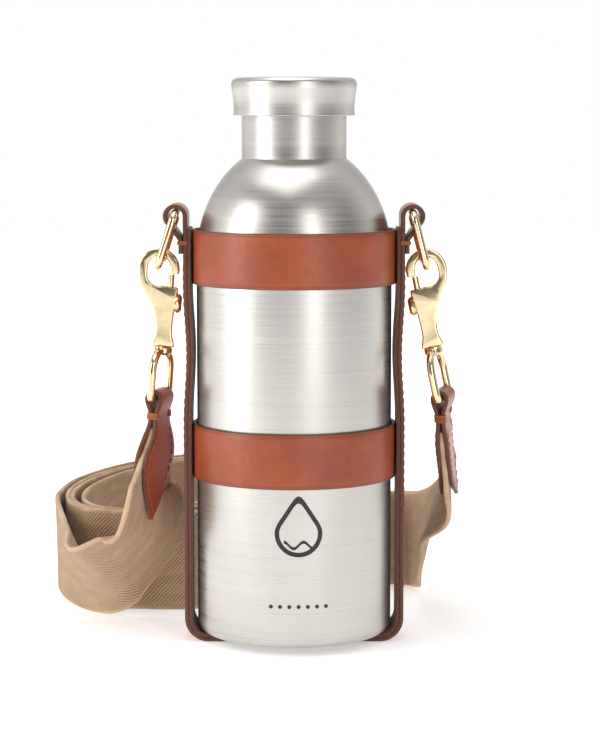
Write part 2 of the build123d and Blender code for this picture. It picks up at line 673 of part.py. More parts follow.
def make_tab_stitching(name, tab):
    """Stitches along both leaves' edges, standing on the leather."""
    face = WEBBING_THICKNESS / 2 + PLY_GAP + TAB_LEATHER
    steps = 6
    with BuildPart() as stitches:
        for sign in (-1, 1):
            plane = tab.offset(sign * (face + STITCH_PROUD / 2))
            for side in (-1, 1):
                for i in range(steps):
                    part_way = (i + 0.5) / steps
                    drop = TAB_WIDE_DROP + part_way * (TAB_LENGTH - TAB_WIDE_DROP - 5)
                    half = (TAB_LEAF_WIDTH / 2 - STITCH_INSET) * (1 - part_way * part_way * 0.75)
                    spot = plane.from_local_coords(Vector(side * half, -drop, 0))
                    with BuildSketch(Plane(origin=spot, x_dir=plane.x_dir, z_dir=plane.z_dir)):
                        Rectangle(STITCH_WIDTH, STITCH_LENGTH)
                    extrude(amount=STITCH_PROUD / 2, both=True)
    save(stitches, name + "_tab_stitching")


def ribbon_section(station):
    """Rectangle across the webbing at a station of centre, direction, width direction, width."""
    centre, along, across, width = station
    across = Vector(across).normalized()
    along = Vector(along)
    along = (along - across * along.dot(across)).normalized()
    with BuildSketch(Plane(origin=centre, x_dir=across, z_dir=along)) as section:
        Rectangle(width, WEBBING_THICKNESS)
    return section.sketch.face()


def ribbon(name, stations):
    """Webbing run lofted from each station to the next."""
    sections = [ribbon_section(station) for station in stations]
    with BuildPart() as run:
        for first, second in zip(sections, sections[1:]):
            loft([first, second], ruled=True)
    save(run, name)


def make_left_run(tab):
    """Webbing from the left tab down to the coil's near corner, turning onto its edge."""
    top = tab.from_local_coords(Vector(0, -TONGUE_FOOT_DROP - PLY_GAP, 0))
    half = WEBBING_WIDTH / 2 + SEAT_GAP
    across = tab.x_dir
    ribbon("webbing_left_run", [
        (top, tab.y_dir * -1, across, TONGUE_FOOT_WIDTH),
        ((top.X - 3, top.Y + 15, 30), (-0.35, 0.6, -0.7), (0.75, 0.65, -0.1), WEBBING_WIDTH - 1),
        ((top.X - 12, top.Y + 29, 24), (-0.8, 0.4, -0.35), (0.4, 0.2, -0.9), WEBBING_WIDTH),
        ((top.X - 23, top.Y + 34, half), (-0.97, 0.1, 0), (0, 0, -1), WEBBING_WIDTH),
        ((top.X - 30, top.Y + 37, half), (-0.8, 0.6, 0), (0, 0, -1), WEBBING_WIDTH),
    ])


def make_right_run(tab):
    """Webbing from the right tab back beside the bottle, turning onto its other edge."""
    top = tab.from_local_coords(Vector(0, -TONGUE_FOOT_DROP - PLY_GAP, 0))
    half = WEBBING_WIDTH / 2 + SEAT_GAP
    across = tab.x_dir
    ribbon("webbing_right_run", [
        (top, tab.y_dir * -1, across, TONGUE_FOOT_WIDTH),
        ((top.X, top.Y + 8, 33), (0, 0.6, -0.8), (0.25, 0.9, 0.35), WEBBING_WIDTH - 1),
        ((top.X - 1, top.Y + 24, 25), (0, 1, -0.4), (0.15, 0.5, 0.85), WEBBING_WIDTH),
        ((tab.origin.X - 2, BACK_RUN_START, half), (0, 1, 0), (0, 0, 1), WEBBING_WIDTH),
    ])


def make_back_run(tab):
    """Webbing on its edge from beside the bottle, round behind it and on to the coil."""
    start_x = tab.origin.X - 2 + WEBBING_THICKNESS / 2
    start_y = BACK_RUN_START + PLY_GAP
    with BuildPart() as run:
        with BuildSketch(Plane.XY.offset(SEAT_GAP)):
            with BuildLine():
                FilletPolyline((start_x, start_y), (start_x, BACK_TURN_Y), (start_x - 12, BACK_TURN_Y),
                               (BACK_BEND_X, BACK_BEND_Y), (COIL_MEET_X, COIL_MEET_Y),
                               radius=BACK_TURN_RADIUS)
                offset(amount=WEBBING_THICKNESS, side=Side.LEFT)
            make_face()
        extrude(amount=WEBBING_WIDTH)
    save(run, "webbing_back_run")


def make_coil():
    """Rolled length of the folded strap, standing on its edge: one oval ring."""
    low = 2 * SEAT_GAP
    with BuildPart() as webbing_coil:
        with BuildSketch(Plane.XY.offset(low)):
            with Locations((COIL_X, COIL_Y)):
                Ellipse(COIL_LONG, COIL_SHORT, rotation=COIL_YAW)
                Ellipse(COIL_LONG - COIL_BUILD, COIL_SHORT - COIL_BUILD, rotation=COIL_YAW,
                        mode=Mode.SUBTRACT)
        extrude(amount=WEBBING_WIDTH)
    save(webbing_coil, "webbing_coil")


make_outer_shell()
make_base_cup()
make_inner_flask()
make_getter()
make_lid_shell()
make_lid_plug()
make_lid_insulation()
make_gasket()
make_outer_ply()
make_lining_ply()
make_band("upper_band", upper_band_z)
make_band("lower_band", LOWER_BAND_Z)
make_edge_stitching()
make_loop_stitching()
tabs = {}
for side_name, side_sign, ring_lean, hook_lean in SIDES:
    hook_frame = hook_plane(side_sign, ring_lean, hook_lean)
    eye_frame = eye_plane(side_sign, hook_frame)
    tabs[side_name] = tab_frame(eye_frame)
    make_ring(side_name, side_sign, ring_lean)
    make_hook(side_name, hook_frame)
    make_bolt(side_name, hook_frame)
    make_spring(side_name, hook_frame)
    make_eye(side_name, eye_frame)
    make_tab(side_name, tabs[side_name])
    make_tongue(side_name, tabs[side_name])
    make_tab_stitching(side_name, tabs[side_name])
make_left_run(tabs["left"])
make_right_run(tabs["right"])
make_back_run(tabs["right"])
make_coil()
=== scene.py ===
"""Insulated bottle in a stitched leather carrier: the maker's pieces, finishes and stage."""
import json
from functools import cache
from math import cos, floor, hypot, pi, radians, sin, sqrt

import bmesh
import bpy
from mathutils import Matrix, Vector


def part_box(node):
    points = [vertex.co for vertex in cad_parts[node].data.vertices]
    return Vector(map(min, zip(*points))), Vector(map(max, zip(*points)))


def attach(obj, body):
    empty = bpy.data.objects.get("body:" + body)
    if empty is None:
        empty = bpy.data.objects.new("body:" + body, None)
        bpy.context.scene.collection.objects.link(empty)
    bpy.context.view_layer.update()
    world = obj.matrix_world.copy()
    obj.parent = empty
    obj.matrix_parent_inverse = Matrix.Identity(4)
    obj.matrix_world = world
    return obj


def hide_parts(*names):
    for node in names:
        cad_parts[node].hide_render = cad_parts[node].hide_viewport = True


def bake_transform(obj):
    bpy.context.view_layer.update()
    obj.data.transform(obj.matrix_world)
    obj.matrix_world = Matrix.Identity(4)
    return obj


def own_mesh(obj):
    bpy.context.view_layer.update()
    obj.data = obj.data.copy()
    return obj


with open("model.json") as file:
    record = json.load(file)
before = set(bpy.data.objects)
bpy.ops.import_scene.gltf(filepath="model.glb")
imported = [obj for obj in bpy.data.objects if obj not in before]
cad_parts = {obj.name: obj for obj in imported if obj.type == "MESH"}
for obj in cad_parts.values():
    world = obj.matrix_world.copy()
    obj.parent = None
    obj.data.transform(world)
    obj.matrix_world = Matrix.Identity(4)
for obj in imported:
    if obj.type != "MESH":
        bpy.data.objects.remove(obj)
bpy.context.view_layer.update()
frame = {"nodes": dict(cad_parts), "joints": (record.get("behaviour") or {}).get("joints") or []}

bl_info = {
    "name": "Leather Carrier Canteen",
    "version": (1, 0, 0),
    "blender": (4, 5, 0),
    "location": "View3D > Sidebar > Canteen",
    "description": "Builds a steel bottle in a leather carrier with a rolled webbing strap",
    "category": "Object",
}

MM = 0.001
SIDES = ("left", "right")


# Places read from the frame, in metres.
def box_of(node):
    """The low and high corners of a node's box."""
    return [Vector(corner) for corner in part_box(node)]


shell_low, shell_high = box_of("bottle_outer_shell")
lid_low, lid_high = box_of("lid_shell")
outer_high = box_of("carrier_strap_outer")[1]
lining_low, lining_high = box_of("carrier_strap_lining")

body_radius = shell_high.x
strip_half = outer_high.y
outer_x = lining_high.x + 0.02 * MM
loop_radius = (outer_high.x - outer_x) / 2
loop_axis_z = outer_high.z - loop_radius


def length_field(name, description, default, low):
    """A length on the panel, given in millimetres."""
    return bpy.props.FloatProperty(name=name, description=description, default=default * MM,
                                   min=low * MM, unit="LENGTH")


def colour_field(name, description, default):
    """A colour on the panel."""
    return bpy.props.FloatVectorProperty(name=name, description=description, default=default,
                                         subtype="COLOR", size=3, min=0, max=1)


class CanteenSizes(bpy.types.PropertyGroup):
    """Sizes of the soft and sewn pieces."""
    outer_ply: length_field("Outer ply", "Thickness of the carrier's outer leather", 1.6, 0.8)
    lining_ply: length_field("Lining ply", "Thickness of the carrier's inner leather", 1.15, 0.5)
    band_ply: length_field("Band", "Thickness of the two bands round the bottle", 1.5, 0.5)
    tab_ply: length_field("Tab", "Thickness of the leather tabs", 1.6, 0.8)
    webbing_width: length_field("Webbing width", "Width of the shoulder strap", 40.0, 10.0)
    webbing_ply: length_field("Webbing", "Thickness of the shoulder strap", 1.9, 0.8)
    stitch_length: length_field("Stitch", "Visible length of one stitch", 2.5, 1.0)
    stitch_pitch: length_field("Stitch pitch", "Distance from one stitch to the next", 3.3, 1.5)


class CanteenColours(bpy.types.PropertyGroup):
    """Colours of the finishes."""
    leather: colour_field("Leather", "Grain side of the leather", (0.33, 0.06, 0.015))
    leather_edge: colour_field("Leather edge", "Dyed edge and flesh side", (0.105, 0.036, 0.02))
    thread: colour_field("Thread", "Waxed sewing thread", (0.42, 0.11, 0.03))
    webbing: colour_field("Webbing", "Cotton webbing", (0.6, 0.41, 0.26))
    gold: colour_field("Gold", "Plated hardware", (0.88, 0.72, 0.45))
    steel: colour_field("Steel", "Brushed bottle wall", (0.62, 0.595, 0.56))
    ink: colour_field("Ink", "Printed mark on the bottle", (0.012, 0.012, 0.012))


def sizes_now():
    return bpy.context.scene.canteen_sizes


def colour_of(name):
    return tuple(getattr(bpy.context.scene.canteen_colours, name))


# ---- places on the object ------------------------------------------------
def joint_of(name):
    """A joint of the frame by its name."""
    return next(joint for joint in frame["joints"] if joint["name"] == name)


def joint_place(name):
    return Vector(joint_of(name)["pos_m"])


def joint_axis(name):
    return Vector(joint_of(name)["axis"]).normalized()


def tab_axes(side):
    """A tab's bar, and its directions along the bar, up and out of the leaf."""
    sign = -1 if side == "left" else 1
    across = joint_axis(side + "_eye_hinge") * sign
    out = across.cross(Vector((0, 0, 1))).normalized()
    return joint_place(side + "_eye_hinge"), across, out.cross(across), out


def arc(centre_x, centre_y, radius, start, end, steps):
    """Points of an arc, angles in degrees."""
    turns = [radians(start + (end - start) * i / steps) for i in range(steps + 1)]
    return [(centre_x + radius * cos(turn), centre_y + radius * sin(turn)) for turn in turns]


def between(start, end, steps):
    """Points of a straight run without its first point."""
    return [tuple(a + (b - a) * i / steps for a, b in zip(start, end)) for i in range(1, steps + 1)]


def catmull(keys, steps):
    """Smooth interpolation through keys, each a sequence of numbers."""
    rows = []
    for i in range(len(keys) - 1):
        a, b = keys[max(i - 1, 0)], keys[i]
        c, d = keys[i + 1], keys[min(i + 2, len(keys) - 1)]
        for k in range(steps):
            t = k / steps
            rows.append([0.5 * (2 * q + (r - p) * t + (2 * p - 5 * q + 4 * r - s) * t * t
                                + (3 * q - p - 3 * r + s) * t ** 3)
                         for p, q, r, s in zip(a, b, c, d)])
    rows.append(list(keys[-1]))
    return rows


# ---- mesh helpers --------------------------------------------------------
def deselect():
    bpy.ops.object.select_all(action="DESELECT")


def add_object(name, vertices, faces, edges=()):
    """A new mesh object at the origin, active and selected alone."""
    mesh = bpy.data.meshes.new(name)
    mesh.from_pydata([tuple(v) for v in vertices], edges, faces)
    mesh.update()
    return add_to_scene(name, mesh)


def add_to_scene(name, data):
    """A new object of a mesh, curve, light or camera, active and selected alone."""
    piece = bpy.data.objects.new(name, data)
    bpy.context.scene.collection.objects.link(piece)
    make_active(piece)
    return piece


def make_active(piece):
    deselect()
    piece.select_set(True)
    bpy.context.view_layer.objects.active = piece


def smooth(piece, angle=40):
    make_active(piece)
    bpy.ops.object.shade_smooth_by_angle(angle=radians(angle))


def edit_all(piece, **steps):
    """Run mesh operators by name, each with its settings, on the whole of a piece."""
    make_active(piece)
    bpy.ops.object.mode_set(mode="EDIT")
    bpy.ops.mesh.select_all(action="SELECT")
    for name, settings in steps.items():
        getattr(bpy.ops.mesh, name)(**settings)
    bpy.ops.object.mode_set(mode="OBJECT")


def finish_piece(piece, material, body):
    """Give a piece its finish and the body it moves with."""
    piece.data.materials.clear()
    piece.data.materials.append(material)
    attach(piece, body)


def lathe(name, outline, steps=192):
    """Turned piece: a closed outline of (radius, height) spun round the bottle's axis."""
    count = len(outline)
    edges = [(i, (i + 1) % count) for i in range(count)]
    piece = add_object(name, [(r, 0, z) for r, z in outline], [], edges)
    edit_all(piece, spin=dict(steps=steps, angle=2 * pi, center=(0, 0, 0), axis=(0, 0, 1)))
    edit_all(piece, remove_doubles=dict(threshold=1e-6), normals_make_consistent=dict(inside=False))
    smooth(piece, 32)
    return piece


def section_points(half_width, thickness, edge, columns):
    """Rounded rectangle across a strip: (along width, along thickness, face) points."""
    run = half_width - edge
    rise = thickness / 2
    slant = edge * sqrt(0.5)
    top = [(-run + 2 * run * i / columns, rise, 1) for i in range(columns + 1)]
    cap = [(run + slant, rise - edge + slant, 0), (half_width, rise - edge, 0),
           (half_width, edge - rise, 0), (run + slant, edge - rise - slant, 0)]
    under = [(-x, -y, -1) for x, y, _ in top]
    far_cap = [(-x, -y, 0) for x, y, _ in cap]
    return top + cap + under + far_cap


def strip(name, frames, thickness, edge=0.35 * MM, columns=6, closed=False):
    """Strip of leather or webbing through frames of centre, across, normal and half width.

    It carries a map of metres across and along, the distance in from its rim in
    millimetres, and which face a point belongs to.
    """
    lengths = [0.0]
    for first, second in zip(frames, frames[1:]):
        lengths.append(lengths[-1] + (second[0] - first[0]).length)
    if closed:
        lengths.append(lengths[-1] + (frames[0][0] - frames[-1][0]).length)
    vertices, across_at, rim, face_at = [], [], [], []
    for centre, across, normal, half_width in frames:
        for x, y, face in section_points(half_width, thickness, min(edge, half_width / 3), columns):
            vertices.append(centre + across * x + normal * y)
            across_at.append(x)
            rim.append((half_width - abs(x)) / MM)
            face_at.append(float(face))
    ring = len(vertices) // len(frames)
    rows = len(frames)
    faces, maps = [], []
    for row in range(rows if closed else rows - 1):
        nxt = (row + 1) % rows
        for i in range(ring):
            j = (i + 1) % ring
            corners = (row * ring + i, row * ring + j, nxt * ring + j, nxt * ring + i)
            faces.append(corners)
            along = (lengths[row], lengths[row], lengths[row + 1], lengths[row + 1])
            maps.extend((across_at[c], s) for c, s in zip(corners, along))
    if not closed:
        for row in (0, rows - 1):
            corners = [row * ring + i for i in range(ring)]
            faces.append(corners if row else corners[::-1])
            maps.extend((across_at[c], lengths[row]) for c in faces[-1])
    piece = add_object(name, vertices, faces)
    layer = piece.data.uv_layers.new(name="metres")
    for loop, value in zip(layer.data, maps):
        loop.uv = value
    for label, values in (("rim", rim), ("face", face_at)):
        attribute = piece.data.attributes.new(label, "FLOAT", "POINT")
        attribute.data.foreach_set("value", values)
    edit_all(piece, normals_make_consistent=dict(inside=False))
    smooth(piece, 50)
    return piece, lengths[-1]


def path_frames(points, half_width, across=Vector((0, 1, 0))):
    """Frames of a flat path of 3D points whose strip lies along one fixed direction."""
    frames = []
    for i, point in enumerate(points):
        before, after = points[max(i - 1, 0)], points[min(i + 1, len(points) - 1)]
        along = (after - before).normalized()
        frames.append((point, across, along.cross(across).normalized(), half_width))
    return frames


def wire(name, points, radius):
    """A closed loop of thick thread through points."""
    curve = bpy.data.curves.new(name, "CURVE")
    curve.dimensions = "3D"
    curve.bevel_depth = radius
    curve.bevel_resolution = 3
    curve.use_fill_caps = True
    spline = curve.splines.new("POLY")
    spline.points.add(len(points) - 1)
    for target, point in zip(spline.points, points):
        target.co = (*point, 1)
    spline.use_cyclic_u = True
    add_to_scene(name, curve)
    bpy.ops.object.convert(target="MESH")
    piece = bpy.context.view_layer.objects.active
    piece.name = name
    smooth(piece, 60)
    return piece


def join(pieces, name):
    """Join pieces into the first one."""
    make_active(pieces[0])
    for piece in pieces[1:]:
        piece.select_set(True)
    bpy.ops.object.join()
    pieces[0].name = name
    return pieces[0]


def stitches(name, places, length, width=0.55 * MM, height=0.5 * MM):
    """Sewn stitches as slim beads at places of point, direction and outward normal."""
    deselect()
    bpy.ops.mesh.primitive_uv_sphere_add(segments=8, ring_count=6, radius=1)
    bead = bpy.context.active_object
    shape = [v.co.copy() for v in bead.data.vertices]
    sides = [tuple(p.vertices) for p in bead.data.polygons]
    bpy.data.objects.remove(bead)
    vertices, faces = [], []
    for point, along, normal in places:
        across = normal.cross(along).normalized()
        start = len(vertices)
        for v in shape:
            fuller = (1 - abs(v.z)) ** 0.25 if abs(v.z) < 1 else 0
            spread = hypot(v.x, v.y) or 1
            vertices.append(point + across * (v.x / spread * fuller * width / 2)
                            + normal * (v.y / spread * fuller * height / 2)
                            + along * (v.z * length / 2))
        faces.extend(tuple(start + i for i in side) for side in sides)
    piece = add_object(name, vertices, faces)
    smooth(piece, 80)
    return piece


def polished_copy(node, angle=28):
    """A merged, smooth-shaded copy of a machined or cast piece of the frame."""
    piece = add_to_scene(node + "_polished", frame["nodes"][node].data.copy())
    edit_all(piece, remove_doubles=dict(threshold=2e-6))
    if piece.data.has_custom_normals:
        bpy.ops.mesh.customdata_custom_splitnormals_clear()
    smooth(piece, angle)
    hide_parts(node)
    return piece


# ---- finishes ------------------------------------------------------------
class Nodes:
    """A node tree under construction."""

    def __init__(self, tree):
        self.nodes, self.links = tree.nodes, tree.links

    def fill(self, socket, value):
        """Link an output to a socket, or set a plain value on it."""
        if isinstance(value, bpy.types.NodeSocket):
            self.links.new(value, socket)
        else:
            socket.default_value = value

    def node(self, kind, settings=None, **inputs):
        """A new node; an input is named by its label, or by i and its number."""
        made = self.nodes.new(kind)
        for key, value in (settings or {}).items():
            setattr(made, key, value)
        for label, value in inputs.items():
            numbered = label[0] == "i" and label[1:].isdigit()
            self.fill(made.inputs[int(label[1:]) if numbered else label.replace("_", " ")], value)
        return made

    def ramp(self, factor, low=0.3, high=0.7, low_value=0.0, high_value=1.0):
        return self.node("ShaderNodeMapRange", Value=factor, From_Min=low, From_Max=high,
                         To_Min=low_value, To_Max=high_value).outputs[0]

    def math(self, operation, first, second=0.0):
        return self.node("ShaderNodeMath", {"operation": operation}, i0=first, i1=second).outputs[0]

    def plus(self, first, second):
        return self.math("ADD", first, second)

    def times(self, first, second):
        return self.math("MULTIPLY", first, second)


class Finish(Nodes):
    """A node material under construction."""

    def __init__(self, name, **sockets):
        self.material = bpy.data.materials.new(name)
        self.material.use_nodes = True
        super().__init__(self.material.node_tree)
        self.shader = self.nodes["Principled BSDF"]
        for label, value in sockets.items():
            self.shader.inputs[label.replace("_", " ")].default_value = value

    def place(self, *scale):
        """Object coordinates in metres times a scale, so 1000 counts millimetres."""
        start = self.node("ShaderNodeTexCoord").outputs["Object"]
        return self.mapped(start, scale * 3 if len(scale) == 1 else scale)

    def mapped(self, start, scale):
        return self.node("ShaderNodeMapping", Vector=start, Scale=scale).outputs[0]

    def metres(self):
        """A strip's own map, in metres across and along."""
        return self.node("ShaderNodeUVMap", {"uv_map": "metres"}).outputs[0]

    def attribute(self, name):
        return self.node("ShaderNodeAttribute", {"attribute_name": name}).outputs["Fac"]

    def noise(self, vector, detail=3.0):
        return self.node("ShaderNodeTexNoise", Vector=vector, Scale=1.0, Detail=detail,
                         Roughness=0.55).outputs[0]

    def mix(self, factor, first, second):
        made = self.node("ShaderNodeMix", {"data_type": "RGBA"})
        for index, value in ((0, factor), (6, first), (7, second)):
            self.fill(made.inputs[index], (*value, 1) if isinstance(value, tuple) else value)
        return made.outputs[2]

    def bump(self, height, strength, distance):
        return self.node("ShaderNodeBump", Height=height, Strength=strength,
                         Distance=distance).outputs[0]

    def connect(self, **outputs):
        for label, value in outputs.items():
            self.links.new(value, self.shader.inputs[label.replace("_", " ")])
        return self.material


def shade(colour, factor):
    return tuple(min(1.0, c * factor) for c in colour)


@cache
def brushed_steel():
    """Satin steel with fine lines turned round the axis and a soft cloudy sheen."""
    base = colour_of("steel")
    steel = Finish("brushed_steel", Metallic=1.0, Anisotropic=0.55, Anisotropic_Rotation=0.0)
    lines = steel.noise(steel.place(14, 14, 5200), detail=2.0)
    coarse = steel.noise(steel.place(6, 6, 1500), detail=2.0)
    cloud = steel.noise(steel.place(28, 28, 12))
    both = steel.plus(steel.times(lines, 0.88), steel.times(coarse, 0.12))
    tone = steel.mix(steel.ramp(both), shade(base, 0.88), shade(base, 1.08))
    tone = steel.mix(steel.ramp(cloud, 0.35, 0.7, 0.0, 0.35), tone, shade(base, 0.8))
    rough = steel.plus(steel.ramp(both, 0.3, 0.7, 0.24, 0.36), steel.ramp(cloud, 0.3, 0.7, 0, 0.05))
    tangent = steel.node("ShaderNodeTangent", {"direction_type": "RADIAL", "axis": "Z"}).outputs[0]
    normal = steel.bump(both, 0.12, 0.00003)
    return steel.connect(Base_Color=tone, Roughness=rough, Normal=normal, Tangent=tangent)


@cache
def inner_steel():
    """Electropolished inside wall."""
    steel = Finish("inner_steel", Metallic=1.0)
    cloud = steel.noise(steel.place(60), detail=4.0)
    tone = steel.mix(steel.ramp(cloud), (0.5, 0.5, 0.49), (0.64, 0.63, 0.61))
    return steel.connect(Base_Color=tone, Roughness=steel.ramp(cloud, 0.3, 0.7, 0.18, 0.3))


@cache
def gold_plate():
    """Polished pale gold with faint casting ripple and handling haze."""
    base = colour_of("gold")
    gold = Finish("gold_metal", Metallic=1.0)
    ripple = gold.noise(gold.place(260), detail=2.0)
    haze = gold.noise(gold.place(900))
    tone = gold.mix(gold.ramp(ripple, 0.35, 0.7), base, shade(base, 0.9))
    rough = gold.ramp(haze, 0.35, 0.75, 0.07, 0.16)
    return gold.connect(Base_Color=tone, Roughness=rough, Normal=gold.bump(ripple, 0.35, 0.00008))


@cache
def spring_steel():
    steel = Finish("spring_steel", Metallic=1.0)
    mark = steel.noise(steel.place(2500))
    tone = steel.mix(steel.ramp(mark), (0.42, 0.42, 0.43), (0.62, 0.62, 0.62))
    return steel.connect(Base_Color=tone, Roughness=steel.ramp(mark, 0.3, 0.7, 0.2, 0.35))


@cache
def leather():
    """Smooth waxed leather: fine grain, cloudy dye, creased rim, dark edge and rough back."""
    base = colour_of("leather")
    edge = colour_of("leather_edge")
    hide = Finish("leather", Coat_Weight=0.22, Coat_Roughness=0.3, Specular_IOR_Level=0.45)
    cloud = hide.noise(hide.place(70), detail=4.0)
    mottle = hide.noise(hide.place(420))
    grain = hide.node("ShaderNodeTexVoronoi", {"feature": "DISTANCE_TO_EDGE"},
                      Vector=hide.place(1), Scale=1900.0).outputs[0]
    pores = hide.noise(hide.place(3600), detail=2.0)
    tone = hide.mix(hide.ramp(cloud, 0.3, 0.72), shade(base, 0.84), shade(base, 1.16))
    tone = hide.mix(hide.ramp(mottle, 0.45, 0.75, 0.0, 0.35), tone, shade(base, 0.66))
    rim = hide.attribute("rim")
    face = hide.attribute("face")
    wander = hide.plus(rim, hide.ramp(mottle, 0.3, 0.7, -0.12, 0.12))
    crease = hide.times(hide.ramp(wander, 0.75, 1.0, 0.0, 1.0),
                       hide.ramp(wander, 1.05, 1.4, 1.0, 0.0))
    tone = hide.mix(hide.times(crease, 0.55), tone, shade(base, 0.4))
    tone = hide.mix(hide.ramp(wander, 0.2, 0.7, 0.75, 0.0), tone, edge)
    fibre = hide.noise(hide.place(1500), detail=5.0)
    rough_side = hide.mix(hide.ramp(fibre, 0.35, 0.65), shade(edge, 0.7), shade(edge, 1.5))
    tone = hide.mix(hide.ramp(face, 0.1, 0.9, 1.0, 0.0), tone, rough_side)
    height = hide.plus(hide.ramp(grain, 0.0, 0.25, 0.0, 0.5), hide.times(pores, 0.5))
    height = hide.math("SUBTRACT", height, hide.times(crease, 2.2))
    rough = hide.plus(hide.ramp(mottle, 0.3, 0.7, 0.34, 0.46),
                      hide.ramp(face, 0.1, 0.9, 0.35, 0.0))
    return hide.connect(Base_Color=tone, Roughness=rough, Normal=hide.bump(height, 0.4, 0.00009))


@cache
def leather_flesh():
    """Lining ply: dark fibrous flesh side with a dyed edge."""
    edge = colour_of("leather_edge")
    hide = Finish("leather_flesh", Sheen_Weight=0.25, Sheen_Roughness=0.5, Roughness=0.8)
    fibre = hide.noise(hide.place(1300, 1300, 900), detail=6.0)
    cloud = hide.noise(hide.place(90))
    tone = hide.mix(hide.ramp(fibre, 0.32, 0.68), shade(edge, 0.6), shade(edge, 1.7))
    tone = hide.mix(hide.ramp(cloud, 0.4, 0.7, 0.0, 0.5), tone, shade(colour_of("leather"), 0.45))
    return hide.connect(Base_Color=tone, Normal=hide.bump(fibre, 0.7, 0.00018))


@cache
def thread():
    """Waxed twisted thread."""
    base = colour_of("thread")
    cotton = Finish("thread", Roughness=0.5, Sheen_Weight=0.15, Sheen_Roughness=0.5)
    twist = cotton.node("ShaderNodeTexWave", {"wave_type": "BANDS", "bands_direction": "DIAGONAL"},
                        Vector=cotton.place(1), Scale=1100.0, Distortion=1.0).outputs[1]
    tone = cotton.mix(twist, shade(base, 0.6), shade(base, 1.15))
    return cotton.connect(Base_Color=tone, Normal=cotton.bump(twist, 0.5, 0.00008))


@cache
def webbing():
    """Cotton webbing: steep twill ribs of single yarns, slubs, lint and a firm selvedge."""
    base = colour_of("webbing")
    cloth = Finish("webbing", Roughness=0.9, Sheen_Weight=0.12, Sheen_Roughness=0.5,
                   Specular_IOR_Level=0.15)
    flat = cloth.metres()
    parts = cloth.node("ShaderNodeSeparateXYZ", Vector=flat)
    across, along = parts.outputs[0], parts.outputs[1]
    slub = cloth.noise(cloth.mapped(flat, (300, 60, 1)))
    wobble = cloth.times(cloth.math("SUBTRACT", slub, 0.5), 0.0006)
    slanted = cloth.plus(along, cloth.plus(cloth.times(across, 0.9), wobble))
    rib, yarn, pick = (
        cloth.ramp(cloth.math("SINE", cloth.times(way, 2 * pi / (pitch * MM))), -1.0, 1.0)
        for way, pitch in ((slanted, 1.5), (across, 0.62), (along, 0.7)))
    weave = cloth.times(cloth.math("POWER", rib, 0.7),
                        cloth.plus(0.55, cloth.times(cloth.times(yarn, pick), 0.45)))
    rim = cloth.attribute("rim")
    selvedge = cloth.ramp(rim, 1.0, 1.5, 1.0, 0.0)
    weave = cloth.plus(cloth.times(weave, cloth.ramp(rim, 0.9, 1.5)),
                       cloth.times(selvedge, cloth.ramp(slub, 0.3, 0.7, 0.35, 0.75)))
    lint = cloth.noise(cloth.place(5200), detail=4.0)
    age = cloth.noise(cloth.place(45), detail=4.0)
    tone = cloth.mix(cloth.ramp(weave, 0.05, 0.8), shade(base, 0.4), shade(base, 1.15))
    tone = cloth.mix(cloth.ramp(slub, 0.45, 0.75, 0.0, 0.35), tone, shade(base, 1.3))
    tone = cloth.mix(cloth.ramp(age, 0.35, 0.7, 0.0, 0.2), tone, shade(base, 0.7))
    tone = cloth.mix(cloth.ramp(lint, 0.55, 0.8, 0.0, 0.4), tone, shade(base, 1.5))
    height = cloth.plus(weave, cloth.times(lint, 0.3))
    return cloth.connect(Base_Color=tone, Normal=cloth.bump(height, 0.9, 0.00028))


@cache
def print_ink():
    """Screen-printed ink with a faint mesh texture."""
    ink = Finish("print_ink", Specular_IOR_Level=0.4)
    speck = ink.noise(ink.place(2400))
    base = colour_of("ink")
    tone = ink.mix(ink.ramp(speck, 0.4, 0.8), base, (0.05, 0.05, 0.05))
    return ink.connect(Base_Color=tone, Roughness=ink.ramp(speck, 0.3, 0.7, 0.35, 0.5))


def moulded(name, colour, rough, grain):
    """Moulded plastic, foam or silicone with a fine texture."""
    stuff = Finish(name)
    fine = stuff.noise(stuff.place(grain))
    tone = stuff.mix(stuff.ramp(fine), shade(colour, 0.88), shade(colour, 1.08))
    return stuff.connect(Base_Color=tone, Roughness=stuff.ramp(fine, 0.3, 0.7, rough, rough + 0.12),
                         Normal=stuff.bump(fine, 0.3, 0.00005))


# ---- bottle --------------------------------------------------------------
SHOULDER_Z = 144 * MM
SHOULDER_RISE = 44 * MM
NECK_RADIUS = 19.5 * MM
FOOT_CORNER = 4.5 * MM
SHELL_WALL = 0.6 * MM


def wall_outline(inset):
    """(radius, height) points of the bottle's wall from its foot to its rim, set in by inset."""
    radius, neck, rise = body_radius - inset, NECK_RADIUS - inset, SHOULDER_RISE - inset
    floor_z = shell_low.z + inset
    corner = FOOT_CORNER - inset
    points = arc(radius - corner, floor_z + corner, corner, -90, 0, 10)
    points += between(points[-1], (radius, SHOULDER_Z), 12)
    join_z = SHOULDER_Z + rise * sqrt(1 - (neck / radius) ** 2)
    steps = 40
    for i in range(1, steps):
        z = SHOULDER_Z + (join_z - SHOULDER_Z) * sin(pi / 2 * i / steps)
        points.append((radius * sqrt(1 - ((z - SHOULDER_Z) / rise) ** 2), z))
    points += [(neck + 0.12 * MM, join_z - 0.05 * MM), (neck, join_z + 0.25 * MM)]
    points += between((neck, join_z + 0.25 * MM), (neck, shell_high.z - 0.3 * MM), 4)
    return points


